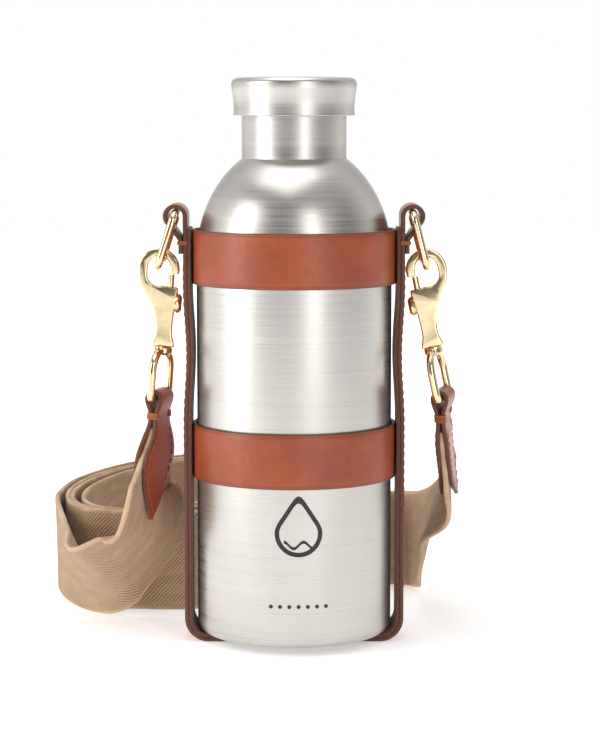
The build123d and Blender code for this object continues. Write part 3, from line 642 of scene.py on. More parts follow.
class CANTEEN_OT_bottle(bpy.types.Operator):
    """Turn the bottle's brushed outer wall"""
    bl_idname = "canteen.bottle"
    bl_label = "Bottle wall"

    def execute(self, context):
        hole = body_radius - FOOT_CORNER - 1 * MM
        outside = wall_outline(0)
        inside = wall_outline(SHELL_WALL)
        rim_z = shell_high.z
        outline = [(hole, shell_low.z + SHELL_WALL), (hole, shell_low.z)] + outside
        outline += [(NECK_RADIUS - 0.15 * MM, rim_z), (NECK_RADIUS - SHELL_WALL, rim_z)]
        outline += inside[::-1]
        wall = lathe("bottle_wall", outline, 256)
        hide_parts("bottle_outer_shell")
        finish_piece(wall, brushed_steel(), "bottle")
        return {"FINISHED"}


LID_SKIRT_RADIUS = 22.6 * MM
LID_WALL = 0.8 * MM
LID_EDGE = 2.6 * MM


class CANTEEN_OT_lid(bpy.types.Operator):
    """Turn the lid's brushed skin"""
    bl_idname = "canteen.lid"
    bl_label = "Lid"

    def execute(self, context):
        low_radius, high_radius, wall, edge = LID_SKIRT_RADIUS, lid_high.x, LID_WALL, LID_EDGE
        low, high = lid_low.z, lid_high.z
        waist = low_radius - 0.15 * MM
        side = [(low_radius - 0.2 * MM, low), (low_radius, low + 0.3 * MM),
                (waist, low + 3 * MM), (waist + 0.2 * MM, low + 6 * MM)]
        side += [(high_radius - 0.25 * MM, high - edge - 2 * MM)]
        side += arc(high_radius - edge, high - edge, edge, 0, 90, 10)
        top = [(10 * MM, high - 0.02 * MM), (0, high)]
        under = [(0, high - wall), (high_radius - edge, high - wall)]
        under += arc(high_radius - edge, high - edge, edge - wall, 90, 0, 8)[1:]
        under += [(waist - wall, low + 4 * MM), (low_radius - wall, low)]
        outline = side + top + under
        skin = lathe("lid_skin", outline, 192)
        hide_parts("lid_shell")
        finish_piece(skin, brushed_steel(), "lid")
        return {"FINISHED"}


PRINT_X = 1.7 * MM
PRINT_GAP = 0.02 * MM
PRINT_FILM = 0.03 * MM
DROP_Z = 46.2 * MM
DROP_RADIUS = 8.8 * MM
DROP_LINE = 1.7 * MM
WAVE_Z = 41.8 * MM
WAVE_HALF = 5.4 * MM
WAVE_HEIGHT = 1.2 * MM
WAVE_LINE = 1.2 * MM
DOTS = 7
DOT_PITCH = 3.4 * MM
DOT_Z = 19.0 * MM
DOT_RADIUS = 0.75 * MM


class CANTEEN_OT_print(bpy.types.Operator):
    """Print a plain water drop and a row of dots on the bottle"""
    bl_idname = "canteen.print"
    bl_label = "Printed mark"

    def execute(self, context):
        self.vertices, self.faces = [], []
        self.drop()
        self.wave()
        for i in range(DOTS):
            self.dot(PRINT_X + (i - (DOTS - 1) / 2) * DOT_PITCH)
        mark = add_object("printed_mark", self.vertices, self.faces)
        solid = mark.modifiers.new("film", "SOLIDIFY")
        solid.thickness = PRINT_FILM
        solid.offset = 1
        bpy.ops.object.modifier_apply(modifier=solid.name)
        finish_piece(mark, print_ink(), "bottle")
        return {"FINISHED"}

    def wrap(self, x, z):
        """A point of the flat artwork on the bottle's wall."""
        radius = body_radius + PRINT_GAP
        self.vertices.append(Vector((radius * sin(x / radius), -radius * cos(x / radius), z)))

    def band(self, outside, inside, closed):
        """Quads between two rows of artwork points."""
        start = len(self.vertices)
        count = len(outside)
        for point in outside + inside:
            self.wrap(*point)
        for i in range(count if closed else count - 1):
            j = (i + 1) % count
            self.faces.append((start + i, start + j, start + count + j, start + count + i))

    def drop(self):
        """Outline of a water drop."""
        def shape(size):
            rows = []
            for i in range(72):
                turn = 2 * pi * i / 72
                point_share = max(0.0, cos(turn))
                rows.append((PRINT_X + size * sin(turn) * (1 - 0.35 * point_share ** 2),
                             DROP_Z + size * cos(turn) * (1 + 0.55 * point_share ** 3)))
            return rows
        self.band(shape(DROP_RADIUS), shape(DROP_RADIUS - DROP_LINE), True)

    def wave(self):
        """A short wave inside the drop."""
        steps = [-WAVE_HALF + 2 * WAVE_HALF * i / 32 for i in range(33)]
        upper = [(PRINT_X + t, WAVE_Z + WAVE_HEIGHT * sin(t / WAVE_HALF * pi * 1.5) + WAVE_LINE / 2)
                 for t in steps]
        self.band([(a, b - WAVE_LINE) for a, b in upper], upper, False)

    def dot(self, x):
        """A round dot, closed but for a pinprick."""
        rims = [[(x + size * cos(2 * pi * i / 20), DOT_Z + size * sin(2 * pi * i / 20))
                 for i in range(20)] for size in (DOT_RADIUS, DOT_RADIUS * 0.05)]
        self.band(*rims, True)


# ---- leather carrier -----------------------------------------------------
LEATHER_ROUNDING = 0.4 * MM
UPRIGHT_SETTLE = 1.1 * MM
OUTER_BEND = 7.2 * MM
LINING_BEND = 6.0 * MM
LINING_INSET = 1.2 * MM
ROW_START = 20 * MM
ROW_END_DROP = 16 * MM
ROW_INSET = 2.0 * MM
STITCH_LEAN = 0.12
LOOP_STITCH_DROP = 9.8 * MM
LOOP_THREAD = 0.36 * MM


def upright_lean(z):
    """How far an upright settles inwards between the two bands."""
    low, high = box_of("lower_band")[1].z, box_of("upper_band")[0].z
    if low < z < high:
        return -UPRIGHT_SETTLE * sin(pi * (z - low) / (high - low)) ** 2
    return 0.0


def half_path(face_x, ply, bend, with_loop):
    """Right half of a ply's middle line as (x, z), from under the bottle to the loop's tail."""
    base = lining_low.z + (outer_x - face_x) if not with_loop else ply
    middle = bend + ply / 2
    points = [(0.0, base - ply / 2), (0.5 * (face_x - bend), base - ply / 2)]
    points += arc(face_x - bend, base + bend, middle, -90, 0, 10)
    top = loop_axis_z if with_loop else loop_axis_z - loop_radius
    rise = between(points[-1], (face_x + ply / 2, top), 48)
    points += [(x + upright_lean(z), z) for x, z in rise]
    if with_loop:
        points += arc(face_x + loop_radius, loop_axis_z, loop_radius - ply / 2, 180, -46, 26)[1:]
        tail_x = face_x + 1.5 * ply + 0.06 * MM
        tail_z = loop_axis_z - 8.4 * MM
        points += between(points[-1], (tail_x + 0.25 * MM, tail_z), 3)
        points += [(tail_x, tail_z - 1.2 * MM), (tail_x, tail_z - 3.4 * MM), (tail_x, tail_z - 5.4 * MM)]
    return points


def ply_frames(face_x, ply, bend, with_loop):
    """Frames of a whole ply, from one end to the other."""
    half = half_path(face_x, ply, bend, with_loop)
    whole = [(-x, z) for x, z in half[:0:-1]] + half
    return path_frames([Vector((x, 0, z)) for x, z in whole], strip_half)


def grain_outside(piece):
    """Show the grain side on both faces of a folded strip."""
    for value in piece.data.attributes["face"].data:
        value.value = abs(value.value)


class CANTEEN_OT_carrier(bpy.types.Operator):
    """Cut and bend the two plies of the carrier's strap"""
    bl_idname = "canteen.carrier"
    bl_label = "Carrier strap"

    def execute(self, context):
        sizes = context.scene.canteen_sizes
        frames = ply_frames(outer_x, sizes.outer_ply, OUTER_BEND, True)
        outer, _ = strip("carrier_outer_ply", frames, sizes.outer_ply, LEATHER_ROUNDING)
        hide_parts("carrier_strap_outer")
        grain_outside(outer)
        finish_piece(outer, leather(), "carrier")
        frames = ply_frames(outer_x - LINING_INSET, sizes.lining_ply, LINING_BEND, False)
        lining, _ = strip("carrier_lining_ply", frames, sizes.lining_ply, 0.35 * MM)
        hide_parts("carrier_strap_lining")
        finish_piece(lining, leather_flesh(), "carrier")
        return {"FINISHED"}


class CANTEEN_OT_bands(bpy.types.Operator):
    """Close the two leather bands round the bottle"""
    bl_idname = "canteen.bands"
    bl_label = "Bands"

    def execute(self, context):
        ply = context.scene.canteen_sizes.band_ply
        for name in ("upper_band", "lower_band"):
            low, high = box_of(name)
            middle = high.x - ply / 2
            steps = 160
            frames = []
            for i in range(steps):
                turn = 2 * pi * i / steps
                normal = Vector((cos(turn), sin(turn), 0))
                centre = normal * middle + Vector((0, 0, (low.z + high.z) / 2))
                frames.append((centre, Vector((0, 0, 1)), normal, (high.z - low.z) / 2))
            band, _ = strip(name + "_leather", frames, ply, LEATHER_ROUNDING, 8, True)
            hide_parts(name)
            finish_piece(band, leather(), "carrier")
        return {"FINISHED"}


class CANTEEN_OT_stitching(bpy.types.Operator):
    """Sew the plies together and close the loops"""
    bl_idname = "canteen.stitching"
    bl_label = "Carrier stitching"

    def execute(self, context):
        sizes = context.scene.canteen_sizes
        face = outer_x + sizes.outer_ply
        count = floor((loop_axis_z - ROW_END_DROP - ROW_START) / sizes.stitch_pitch)
        places = []
        for sign in (-1, 1):
            for y in (ROW_INSET - strip_half, strip_half - ROW_INSET):
                for i in range(count):
                    z = ROW_START + (i + 0.5) * sizes.stitch_pitch
                    x = sign * (face + upright_lean(z) + 0.05 * MM)
                    along = Vector((0, STITCH_LEAN * sign, 1)).normalized()
                    places.append((Vector((x, y, z)), along, Vector((sign, 0, 0))))
        rows = stitches("edge_stitches", places, sizes.stitch_length)
        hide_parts("edge_stitching")
        finish_piece(rows, thread(), "carrier")
        loops = [self.loop(sign, edge, z) for sign in (-1, 1) for edge in (-1, 1)
                 for z in (-0.33 * MM, 0.33 * MM)]
        closed = join(loops, "loop_stitches")
        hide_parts("loop_stitching")
        finish_piece(closed, thread(), "carrier")
        return {"FINISHED"}

    def loop(self, sign, edge, offset):
        """One heavy stitch round the edge of the folded strap."""
        z = loop_axis_z - LOOP_STITCH_DROP + offset
        inner = outer_x + 0.15 * MM
        outer = outer_x + 2 * sizes_now().outer_ply + 0.3 * MM
        edge_y = strip_half + 0.3 * MM
        deep_y = strip_half - 2.6 * MM
        points = [(inner, deep_y, z), (inner, edge_y - 0.2 * MM, z), (inner + 0.3 * MM, edge_y, z),
                  (outer - 0.3 * MM, edge_y, z), (outer, edge_y - 0.2 * MM, z),
                  (outer, deep_y, z), (outer - 1.2 * MM, deep_y - 0.1 * MM, z),
                  (inner + 1.0 * MM, deep_y - 0.1 * MM, z)]
        return wire("loop_stitch", [(sign * x, edge * y, h) for x, y, h in points], LOOP_THREAD)


# ---- metal hardware ------------------------------------------------------
HOOK_HALF = 2.5 * MM
HOOK_ROUNDING = 1.15 * MM
BORE_MIDDLE = (1.2, 0, 14.5)        # millimetres towards the gate, through the hook and up
BORE_RADIUS = 1.42 * MM
BORE_LENGTH = 21 * MM
SLOT_MIDDLE = (4.2, 0, 13.9)
SLOT_SIZE = (6, 2.4, 7.6)


def hook_frame(side):
    """A hook's foot, and its directions towards the gate, up and through its thickness."""
    sign = -1 if side == "left" else 1
    up = joint_axis(side + "_swivel")
    gate = Vector((up.z, 0, -up.x)) * -sign
    return joint_place(side + "_swivel"), gate, up, gate.cross(up)


def hook_outline():
    """Outline of a hook in millimetres, counted towards the gate and up from its foot."""
    foot = [(-4.1, 0), (4.1, 0), (4.1, 1.1), (3.7, 2.4), (3.15, 4.2), (3.0, 6.5), (3.05, 9.5)]
    gate_side = [(3.35, 14), (3.8, 18), (4.2, 20.8), (4.1, 22.0), (3.6, 22.5)]
    lap = [(0.9, 22.5), (-1.2, 22.7)]
    hole = arc(-3.5, 26.6, 4.2, -70, -180, 12) + arc(-3.5, 29.4, 4.2, 180, 0, 20)
    beak = [(0.75, 28.2), (1.3, 27.4), (3.6, 27.4), (4.1, 27.7)]
    crown = [(-3.5 + 7.7 * cos(radians(t)), 28.7 + 8.0 * sin(radians(t))) for t in range(0, 181, 6)]
    web = [(-11.0, 26.2), (-10.3, 23.6), (-9.0, 21.0), (-7.2, 18.3), (-5.5, 15.7), (-4.2, 12.8),
           (-3.45, 9.8), (-3.1, 6.8), (-3.2, 4.2), (-3.7, 2.4), (-4.1, 1.1)]
    return foot + gate_side + lap + hole + beak + crown + web


def cut_away(piece, cutter):
    """Cut one piece out of another and drop the cutter."""
    make_active(piece)
    cut = piece.modifiers.new("cut", "BOOLEAN")
    cut.operation = "DIFFERENCE"
    cut.solver = "EXACT"
    cut.object = cutter
    bpy.ops.object.modifier_apply(modifier=cut.name)
    bpy.data.objects.remove(cutter)


class CANTEEN_OT_hooks(bpy.types.Operator):
    """Cast the two snap hooks with rounded faces and a channel for the bolt"""
    bl_idname = "canteen.hooks"
    bl_label = "Snap hooks"

    def execute(self, context):
        for side in SIDES:
            foot, gate, up, through = hook_frame(side)
            flat = bmesh.new()
            corners = [flat.verts.new(foot + gate * (u * MM) + up * (v * MM) - through * HOOK_HALF)
                       for u, v in hook_outline()]
            face = flat.faces.new(corners)
            grown = bmesh.ops.extrude_face_region(flat, geom=[face])["geom"]
            moved = [item for item in grown if isinstance(item, bmesh.types.BMVert)]
            bmesh.ops.translate(flat, verts=moved, vec=through * (2 * HOOK_HALF))
            rims = [edge for edge in flat.edges
                    if any(len(f.verts) > 4 for f in edge.link_faces)]
            bmesh.ops.bevel(flat, geom=rims, offset=HOOK_ROUNDING, segments=5, profile=0.5,
                            affect="EDGES", clamp_overlap=True)
            bmesh.ops.recalc_face_normals(flat, faces=flat.faces)
            hook = add_object(side + "_cast_hook", [], [])
            flat.to_mesh(hook.data)
            flat.free()
            self.channel(hook, foot, (gate, through, up))
            smooth(hook, 48)
            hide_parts(side + "_hook")
            finish_piece(hook, gold_plate(), side + "_snap_hook")
        return {"FINISHED"}

    def channel(self, hook, foot, ways):
        """Bore for the bolt and its spring, and the side slot that the thumb piece slides in."""
        def place_and_cut(middle, size):
            cutter = bpy.context.active_object
            for vertex in cutter.data.vertices:
                vertex.co = foot + sum((way * (m * MM + c * s) for way, m, c, s in
                                        zip(ways, middle, vertex.co.copy(), size)), Vector())
            cut_away(hook, cutter)

        bpy.ops.mesh.primitive_cylinder_add(vertices=32, radius=BORE_RADIUS, depth=BORE_LENGTH)
        place_and_cut(BORE_MIDDLE, (1, 1, 1))
        bpy.ops.mesh.primitive_cube_add(size=1)
        place_and_cut(SLOT_MIDDLE, [length * MM for length in SLOT_SIZE])


class CANTEEN_OT_hardware(bpy.types.Operator):
    """Polish the rings, bolts and swivel eyes"""
    bl_idname = "canteen.hardware"
    bl_label = "Gold hardware"

    def execute(self, context):
        for side in SIDES:
            for node, body in (("ring", "ring_body"), ("bolt", "hook_bolt"), ("eye", "swivel_eye")):
                piece = polished_copy(side + "_" + node)
                finish_piece(piece, gold_plate(), side + "_" + body)
        return {"FINISHED"}


# ---- tabs ----------------------------------------------------------------
TAB_NECK = 7.0 * MM
TAB_LEAF = 11.0 * MM
TAB_BIND_DROP = 6.5 * MM
TAB_NECK_DROP = 9 * MM
TAB_WIDE_DROP = 22 * MM
TAB_LENGTH = 47 * MM
TAB_BEND_RUN = 24 * MM
TAB_OPEN_RUN = 9 * MM
TAB_ROW_DROP = 6 * MM
TAB_TIP_CLEAR = 4 * MM
TAB_ROW_INSET = 2.0 * MM
BINDING_THREAD = 0.32 * MM
BINDING_TURNS = 4
BINDING_PITCH = 0.62 * MM

# How far each tab hangs backwards, sideways and twisted.
HANG = {"left": (radians(3), radians(-11), radians(9)),
        "right": (radians(34), radians(-3), radians(-9))}


def smooth_share(value):
    value = min(1.0, max(0.0, value))
    return value * value * (3 - 2 * value)


def spine(side, drop):
    """Where a tab's middle is at a length below the bar: point, across, down and out directions.

    The tab's pull bends it backwards and sideways and twists it a little.
    """
    point, across, up, out = tab_axes(side)
    back, outwards, twist = HANG[side]

    def heading(share):
        slope = across * sin(back * share) + out * sin(outwards * share)
        return slope - up * sqrt(1 - slope.length_squared)

    steps = 12
    for i in range(steps):
        point += heading(smooth_share((i + 0.5) / steps * drop / TAB_BEND_RUN)) * (drop / steps)
    share = smooth_share(drop / TAB_BEND_RUN)
    down = heading(share)
    turned = across * cos(twist * share) + out * sin(twist * share)
    turned = (turned - down * turned.dot(down)).normalized()
    return point, turned, down, turned.cross(-down).normalized()


def leaf_half_width(drop):
    """Half width of a tab's leaf at a length below the bar."""
    if drop < TAB_NECK_DROP:
        return TAB_NECK
    if drop < TAB_WIDE_DROP:
        return TAB_NECK + (TAB_LEAF - TAB_NECK) * smooth_share(
            (drop - TAB_NECK_DROP) / (TAB_WIDE_DROP - TAB_NECK_DROP))
    share = min(1.0, (drop - TAB_WIDE_DROP) / (TAB_LENGTH - TAB_WIDE_DROP))
    return max(0.35 * MM, TAB_LEAF * (1 - share ** 1.9))


def leaf_offset(drop, ply):
    """Distance of a leaf's middle from the tab's middle: round the bar, bound, then apart."""
    bend = 1.85 * MM + ply / 2
    flat = 0.98 * MM + ply / 2
    if drop < TAB_BIND_DROP:
        return bend + (0.1 * MM + ply / 2 - bend) * smooth_share(drop / TAB_BIND_DROP)
    opened = smooth_share((drop - TAB_BIND_DROP) / TAB_OPEN_RUN)
    tip = 0.9 * MM * smooth_share((drop - 25 * MM) / (TAB_LENGTH - 25 * MM))
    return 0.1 * MM + ply / 2 + (flat - 0.1 * MM - ply / 2) * opened + tip


class CANTEEN_OT_tabs(bpy.types.Operator):
    """Fold and sew the leather tabs round the swivel eyes"""
    bl_idname = "canteen.tabs"
    bl_label = "Tabs"

    def execute(self, context):
        ply = context.scene.canteen_sizes.tab_ply
        bend = leaf_offset(0, ply)
        for side in SIDES:
            drops = [TAB_LENGTH * (1 - i / 36) for i in range(36)]
            front = [self.place(side, leaf_offset(drop, ply), drop) for drop in drops]
            back = [self.place(side, -leaf_offset(drop, ply), drop) for drop in drops[::-1]]
            bar, across, up, out = tab_axes(side)
            turn = [(bar + out * n + up * v, across, leaf_half_width(0))
                    for n, v in arc(0, 0, bend, 0, 180, 14)]
            line = front + turn + back
            frames = []
            for i, (point, width, half) in enumerate(line):
                along = (line[min(i + 1, len(line) - 1)][0] - line[max(i - 1, 0)][0]).normalized()
                frames.append((point, width, width.cross(along).normalized(), half))
            tab, _ = strip(side + "_tab_leather", frames, ply, LEATHER_ROUNDING, 8)
            grain_outside(tab)
            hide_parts(side + "_tab")
            finish_piece(tab, leather(), side + "_strap_end")
            self.sew(side, ply)
        return {"FINISHED"}

    def place(self, side, offset, drop):
        """A point of a leaf's middle with its width direction and half width."""
        point, across, _, out = spine(side, drop)
        return point + out * offset, across, leaf_half_width(drop)

    def sew(self, side, ply):
        """Edge stitches on both leaves and a tight binding under the bar."""
        places = []
        for sign in (-1, 1):
            for edge in (-1, 1):
                drop = TAB_BIND_DROP + TAB_ROW_DROP
                while drop < TAB_LENGTH - TAB_TIP_CLEAR:
                    ends = []
                    for d in (drop, drop + 1 * MM):
                        point, across, _, out = spine(side, d)
                        face = leaf_offset(d, ply) + ply / 2 + 0.05 * MM
                        inset = max(0.0, leaf_half_width(d) - TAB_ROW_INSET)
                        ends.append(point + across * (edge * inset) + out * (sign * face))
                    along = (ends[1] - ends[0]).normalized()
                    places.append((ends[0], along, out * sign))
                    drop += sizes_now().stitch_pitch * MM / (ends[1] - ends[0]).length
        sewn = stitches(side + "_tab_stitches", places, sizes_now().stitch_length)
        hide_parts(side + "_tab_stitching")
        finish_piece(sewn, thread(), side + "_strap_end")
        bindings = []
        for i in range(BINDING_TURNS):
            drop = TAB_BIND_DROP + (i - (BINDING_TURNS - 1) / 2) * BINDING_PITCH
            point, across, _, out = spine(side, drop)
            deep = ply + 0.35 * MM
            edge = leaf_half_width(drop) + 0.3 * MM
            near = edge - 1.9 * MM
            corners = [(near, deep), (edge - 0.2 * MM, deep), (edge, deep - 0.3 * MM),
                       (edge, 0.3 * MM - deep), (edge - 0.2 * MM, -deep), (near, -deep)]
            for end in (-1, 1):
                points = [point + across * (a * end) + out * b for a, b in corners]
                bindings.append(wire(side + "_binding", points, BINDING_THREAD))
        bound = join(bindings, side + "_neck_binding")
        finish_piece(bound, thread(), side + "_strap_end")


# ---- webbing -------------------------------------------------------------
COIL_CENTRE = Vector((-50 * MM, 124 * MM, 0))
COIL_ALONG = Vector((0.2807, 0.9598, 0))
COIL_ACROSS = Vector((-0.9598, 0.2807, 0))
COIL_LONG = 85 * MM
COIL_SHORT = 46 * MM
STRAND_PITCH = 3.7 * MM
STAND_Z = 20.1 * MM
COIL_END = -2.0 * pi


def coil_point(turn, start, depth):
    """A point of the rolled strap: it winds inwards by two strands each turn."""
    inset = depth + 2 * STRAND_PITCH * (start - turn) / (2 * pi)
    point = (COIL_CENTRE + COIL_ALONG * ((COIL_LONG - inset) * cos(turn))
             + COIL_ACROSS * ((COIL_SHORT - inset) * sin(turn)))
    ripple = 0.5 * MM * sin(2.7 * turn + depth / MM)
    return point + (point - COIL_CENTRE).normalized() * ripple


def coil_keys(start, depth, steps, upwards):
    """Keys of centre, width direction (up or down) and half width round the coil."""
    keys = []
    half = sizes_now().webbing_width / 2
    for i in range(steps + 1):
        turn = start + (COIL_END - start) * i / steps
        point = coil_point(turn, start, depth)
        outwards = (point - COIL_CENTRE).normalized()
        lean = outwards * (0.03 * sin(2.1 * turn + depth / MM))
        keys.append([point.x, point.y, STAND_Z, lean.x * upwards, lean.y * upwards, upwards, half])
    return keys


def tongue_keys(side, drops):
    """Keys of the webbing's tapered end inside the tab."""
    keys = []
    for drop, half in drops:
        point, across, _, _ = spine(side, drop * MM)
        keys.append([*point, *across, half * MM])
    return keys


def webbing_frames(keys, steps=6):
    """Frames of the webbing through keys of centre, width direction and half width."""
    rows = catmull(keys, steps)
    frames = []
    for i, row in enumerate(rows):
        before, after = rows[max(i - 1, 0)], rows[min(i + 1, len(rows) - 1)]
        along = (Vector(after[:3]) - Vector(before[:3])).normalized()
        across = Vector(row[3:6])
        across = (across - along * across.dot(along)).normalized()
        frames.append((Vector(row[:3]), across, along.cross(across).normalized(), row[6]))
    return frames


# Each strand, in millimetres: the tongue sewn into the tab as (drop, half width), then the free
# run as (x, y, z, width direction, half width), then the coil.
STRANDS = {
    "left": {
        "tongue": ((11, 6.0), (17, 8.2), (24, 11.4), (32, 14.6), (41, 17.4)),
        "run": ((-57.5, 12, 38.5, 0.62, 0.72, -0.2, 19.2), (-65, 19, 28, 0.62, 0.68, -0.42, 20),
                (-75.5, 25.5, 19.2, 0.33, 0.6, -0.72, 20), (-85.5, 41, 18.4, 0.12, 0.42, -0.9, 20),
                (-93.5, 63, 19.4, 0.03, 0.28, -0.96, 20), (-98.8, 92, 20, 0, 0.14, -0.99, 20)),
        "coil": {"start": 1.75, "depth": 0.5 * MM, "steps": 40, "upwards": -1}},
    "right": {
        "tongue": ((11, 6.0), (17, 9.0), (24, 12.6), (32, 16.0), (42, 18.6)),
        "run": ((56.4, 31, 46.5, 0.3, 0.65, 0.6, 19.6), (55.2, 46, 37.5, 0.26, 0.48, 0.84, 20),
                (53.4, 62, 29, 0.18, 0.28, 0.94, 20), (51.5, 79, 22.8, 0.05, 0.1, 1, 20),
                (47.5, 93, 20.4, 0, 0, 1, 20), (40, 95.5, 20.1, 0, 0, 1, 20),
                (31, 86, 20.1, 0, 0, 1, 20), (18, 72, 20.1, 0, 0, 1, 20),
                (0, 60.5, 20.1, 0, 0, 1, 20), (-24, 51.5, 20.1, 0, 0, 1, 20),
                (-46, 47, 20.1, 0, 0, 1, 20), (-61, 47.5, 20.1, 0, 0, 1, 20)),
        "coil": {"start": pi - 0.2, "depth": 4.4 * MM, "steps": 46, "upwards": 1}},
}


def strand_keys(side):
    """Keys of a whole strand, from the tab to the fold inside the roll."""
    strand = STRANDS[side]
    run = [[v * MM for v in row[:3]] + list(row[3:6]) + [row[6] * MM] for row in strand["run"]]
    return tongue_keys(side, strand["tongue"]) + run + coil_keys(**strand["coil"])


class CANTEEN_OT_webbing(bpy.types.Operator):
    """Lead the webbing from both tabs and roll it up behind the bottle"""
    bl_idname = "canteen.webbing"
    bl_label = "Webbing"

    def execute(self, context):
        sizes = context.scene.canteen_sizes
        left, right = strand_keys("left"), strand_keys("right")
        self.turn_back(left, right, sizes.webbing_width / 2)
        for side, keys in (("left", left), ("right", right)):
            piece, length = strip(side + "_webbing", webbing_frames(keys), sizes.webbing_ply,
                                  0.5 * MM, 10)
            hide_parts(side + "_strap_end", "webbing_" + side + "_run")
            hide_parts("webbing_coil" if side == "left" else "webbing_back_run")
            piece.data.materials.append(webbing())
            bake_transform(piece)
        return {"FINISHED"}

    def turn_back(self, left, right, half):
        """The folded end of the strap inside the roll, where both strands meet."""
        left_end, right_end = Vector(left[-1][:3]), Vector(right[-1][:3])
        middle = (left_end + right_end) / 2
        reach = (left_end - right_end) / 2
        heading = (left_end - Vector(left[-2][:3])).normalized()
        for step in (45, 90, 135, 180):
            turn = radians(step)
            point = middle + reach * cos(turn) + heading * (reach.length * sin(turn))
            left.append([*point, 0, 0, -1.0, half])


class CANTEEN_OT_inside(bpy.types.Operator):
    """Finish the pieces inside the bottle, the lid and the hooks"""
    bl_idname = "canteen.inside"
    bl_label = "Inside pieces"

    def execute(self, context):
        finishes = {
            "lid_plug": moulded("lid_plastic", (0.02, 0.02, 0.022), 0.42, 1600),
            "lid_insulation": moulded("foam", (0.62, 0.6, 0.54), 0.8, 900),
            "lid_gasket": moulded("silicone", (0.55, 0.55, 0.53), 0.45, 2200),
            "vacuum_getter": moulded("getter_metal", (0.3, 0.3, 0.31), 0.4, 1200),
            "bottle_inner_flask": inner_steel(),
            "bottle_base_cup": brushed_steel(),
        }
        for node, material in finishes.items():
            materials = frame["nodes"][node].data.materials
            materials.clear()
            materials.append(material)
        for side in SIDES:
            spring = polished_copy(side + "_spring")
            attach(spring, side + "_snap_hook")
            spring.data.materials.clear()
            spring.data.materials.append(spring_steel())
            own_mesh(spring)
        return {"FINISHED"}


# ---- stage ---------------------------------------------------------------
# Name, place, target, width, height and power of each soft box.
LIGHTS = (("key", (0.42, -1.0, 0.42), (0, 0, 0.11), 0.2, 1.1, 3.2),
          ("side", (-1.0, -0.42, 0.42), (0, 0, 0.1), 0.45, 1.0, 7.0),
          ("top", (-0.1, -0.1, 1.1), (0, 0, 0.1), 0.8, 0.8, 4.5))
CAMERA_PLACE = (0.0022, -0.860, 0.198)
CAMERA_PITCH = radians(6.5)
LENS = 110.4


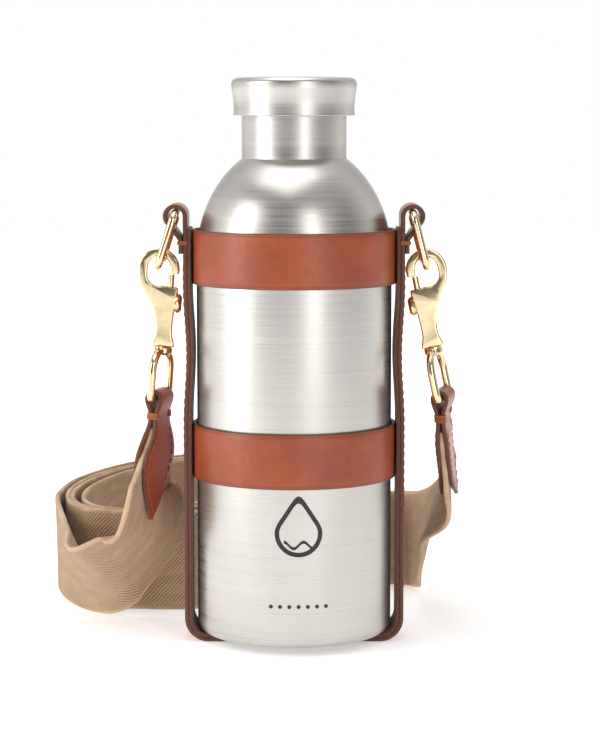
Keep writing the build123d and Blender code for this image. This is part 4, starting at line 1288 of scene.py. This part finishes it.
class CANTEEN_OT_stage(bpy.types.Operator):
    """Set the floor, the soft lights and the camera"""
    bl_idname = "canteen.stage"
    bl_label = "Stage"

    def execute(self, context):
        deselect()
        bpy.ops.mesh.primitive_plane_add(size=6, location=(0, 0, 0))
        ground = context.active_object
        ground.name = "studio_floor"
        card = Finish("studio_floor", Roughness=0.9, Specular_IOR_Level=0.1,
                      Emission_Color=(1, 1, 1, 1))
        tint = card.noise(card.place(3))
        far = card.node("ShaderNodeSeparateXYZ", Vector=card.place(1)).outputs[1]
        # Painted light: the floor glows, weakly in front and strongly towards the back, so that it fades
        # into the white surround.
        card.connect(Emission_Strength=card.ramp(far, 0.1, 0.7, 0.36, 0.9))
        ground.data.materials.append(
            card.connect(Base_Color=card.mix(card.ramp(tint), (0.9, 0.9, 0.9), (0.93, 0.93, 0.93))))
        for light in LIGHTS:
            self.light(*light)
        self.surround(context)
        self.camera(context)
        return {"FINISHED"}

    def light(self, name, place, target, width, height, power):
        """A soft box aimed at a point."""
        lamp = bpy.data.lights.new(name, "AREA")
        lamp.shape = "RECTANGLE"
        lamp.size, lamp.size_y = width, height
        lamp.energy = power
        holder = add_to_scene(name, lamp)
        holder.location = place
        holder.rotation_euler = (Vector(target) - Vector(place)).to_track_quat("-Z", "Y").to_euler()

    def surround(self, context):
        """A white surround behind, dimmer in front, with a dark flag at each side of the front."""
        world = bpy.data.worlds.new("studio")
        context.scene.world = world
        world.use_nodes = True
        tree = Nodes(world.node_tree)
        background = tree.nodes["Background"]
        background.inputs["Color"].default_value = (1, 1, 1, 1)
        place = tree.node("ShaderNodeTexCoord").outputs["Generated"]
        x, y = tree.node("ShaderNodeSeparateXYZ", i0=place).outputs[:2]

        def window(value, rise_start, rise_end, fall_start, fall_end):
            """1 between two limits, with soft sides."""
            return tree.times(tree.ramp(value, rise_start, rise_end),
                              tree.ramp(value, fall_start, fall_end, 1.0, 0.0))

        flags = tree.math("MAXIMUM", window(x, -0.8, -0.6, 0.0, 0.25), window(x, 0.7, 0.8, 0.92, 0.99))
        flags = tree.times(flags, tree.ramp(y, -0.1, 0.1, 1.0, 0.0))
        behind = tree.times(window(tree.math("ABSOLUTE", x), 0.22, 0.4, 0.6, 0.8),
                            tree.ramp(y, 0.4, 0.6, 0.0, 0.7))
        light_share = tree.ramp(tree.math("MAXIMUM", flags, behind), 0.0, 1.0, 1.0, 0.42)
        depth = tree.ramp(y, -0.1, 0.6, 0.46, 1.0)
        tree.fill(background.inputs["Strength"], tree.times(depth, light_share))

    def camera(self, context):
        """A long lens, level and looking slightly down."""
        lens = bpy.data.cameras.new("camera")
        lens.lens = LENS
        lens.sensor_width = 36
        holder = add_to_scene("camera", lens)
        holder.location = CAMERA_PLACE
        holder.rotation_euler = (pi / 2 - CAMERA_PITCH, 0, 0)
        context.scene.camera = holder
        context.scene.view_settings.view_transform = "Standard"


STEPS = ("stage", "bottle", "lid", "print", "bands", "carrier", "stitching", "hooks", "hardware",
         "tabs", "webbing", "inside")


class CANTEEN_PT_panel(bpy.types.Panel):
    """The canteen's pieces, sizes and colours"""
    bl_idname = "CANTEEN_PT_panel"
    bl_label = "Canteen"
    bl_space_type = "VIEW_3D"
    bl_region_type = "UI"
    bl_category = "Canteen"

    def draw(self, context):
        layout = self.layout
        for step in STEPS:
            layout.operator("canteen." + step)
        for group in (context.scene.canteen_sizes, context.scene.canteen_colours):
            box = layout.box()
            for name in group.__annotations__:
                box.prop(group, name)


CLASSES = (CanteenSizes, CanteenColours, CANTEEN_OT_bottle, CANTEEN_OT_lid, CANTEEN_OT_print,
           CANTEEN_OT_carrier, CANTEEN_OT_bands, CANTEEN_OT_stitching, CANTEEN_OT_hooks,
           CANTEEN_OT_hardware, CANTEEN_OT_tabs, CANTEEN_OT_webbing, CANTEEN_OT_inside,
           CANTEEN_OT_stage, CANTEEN_PT_panel)


def register():
    for item in CLASSES:
        bpy.utils.register_class(item)
    bpy.types.Scene.canteen_sizes = bpy.props.PointerProperty(type=CanteenSizes)
    bpy.types.Scene.canteen_colours = bpy.props.PointerProperty(type=CanteenColours)


def unregister():
    del bpy.types.Scene.canteen_colours
    del bpy.types.Scene.canteen_sizes
    for item in reversed(CLASSES):
        bpy.utils.unregister_class(item)


def main():
    register()
    for step in STEPS:
        getattr(bpy.ops.canteen, step)()
    deselect()


if __name__ == "__main__":
    main()
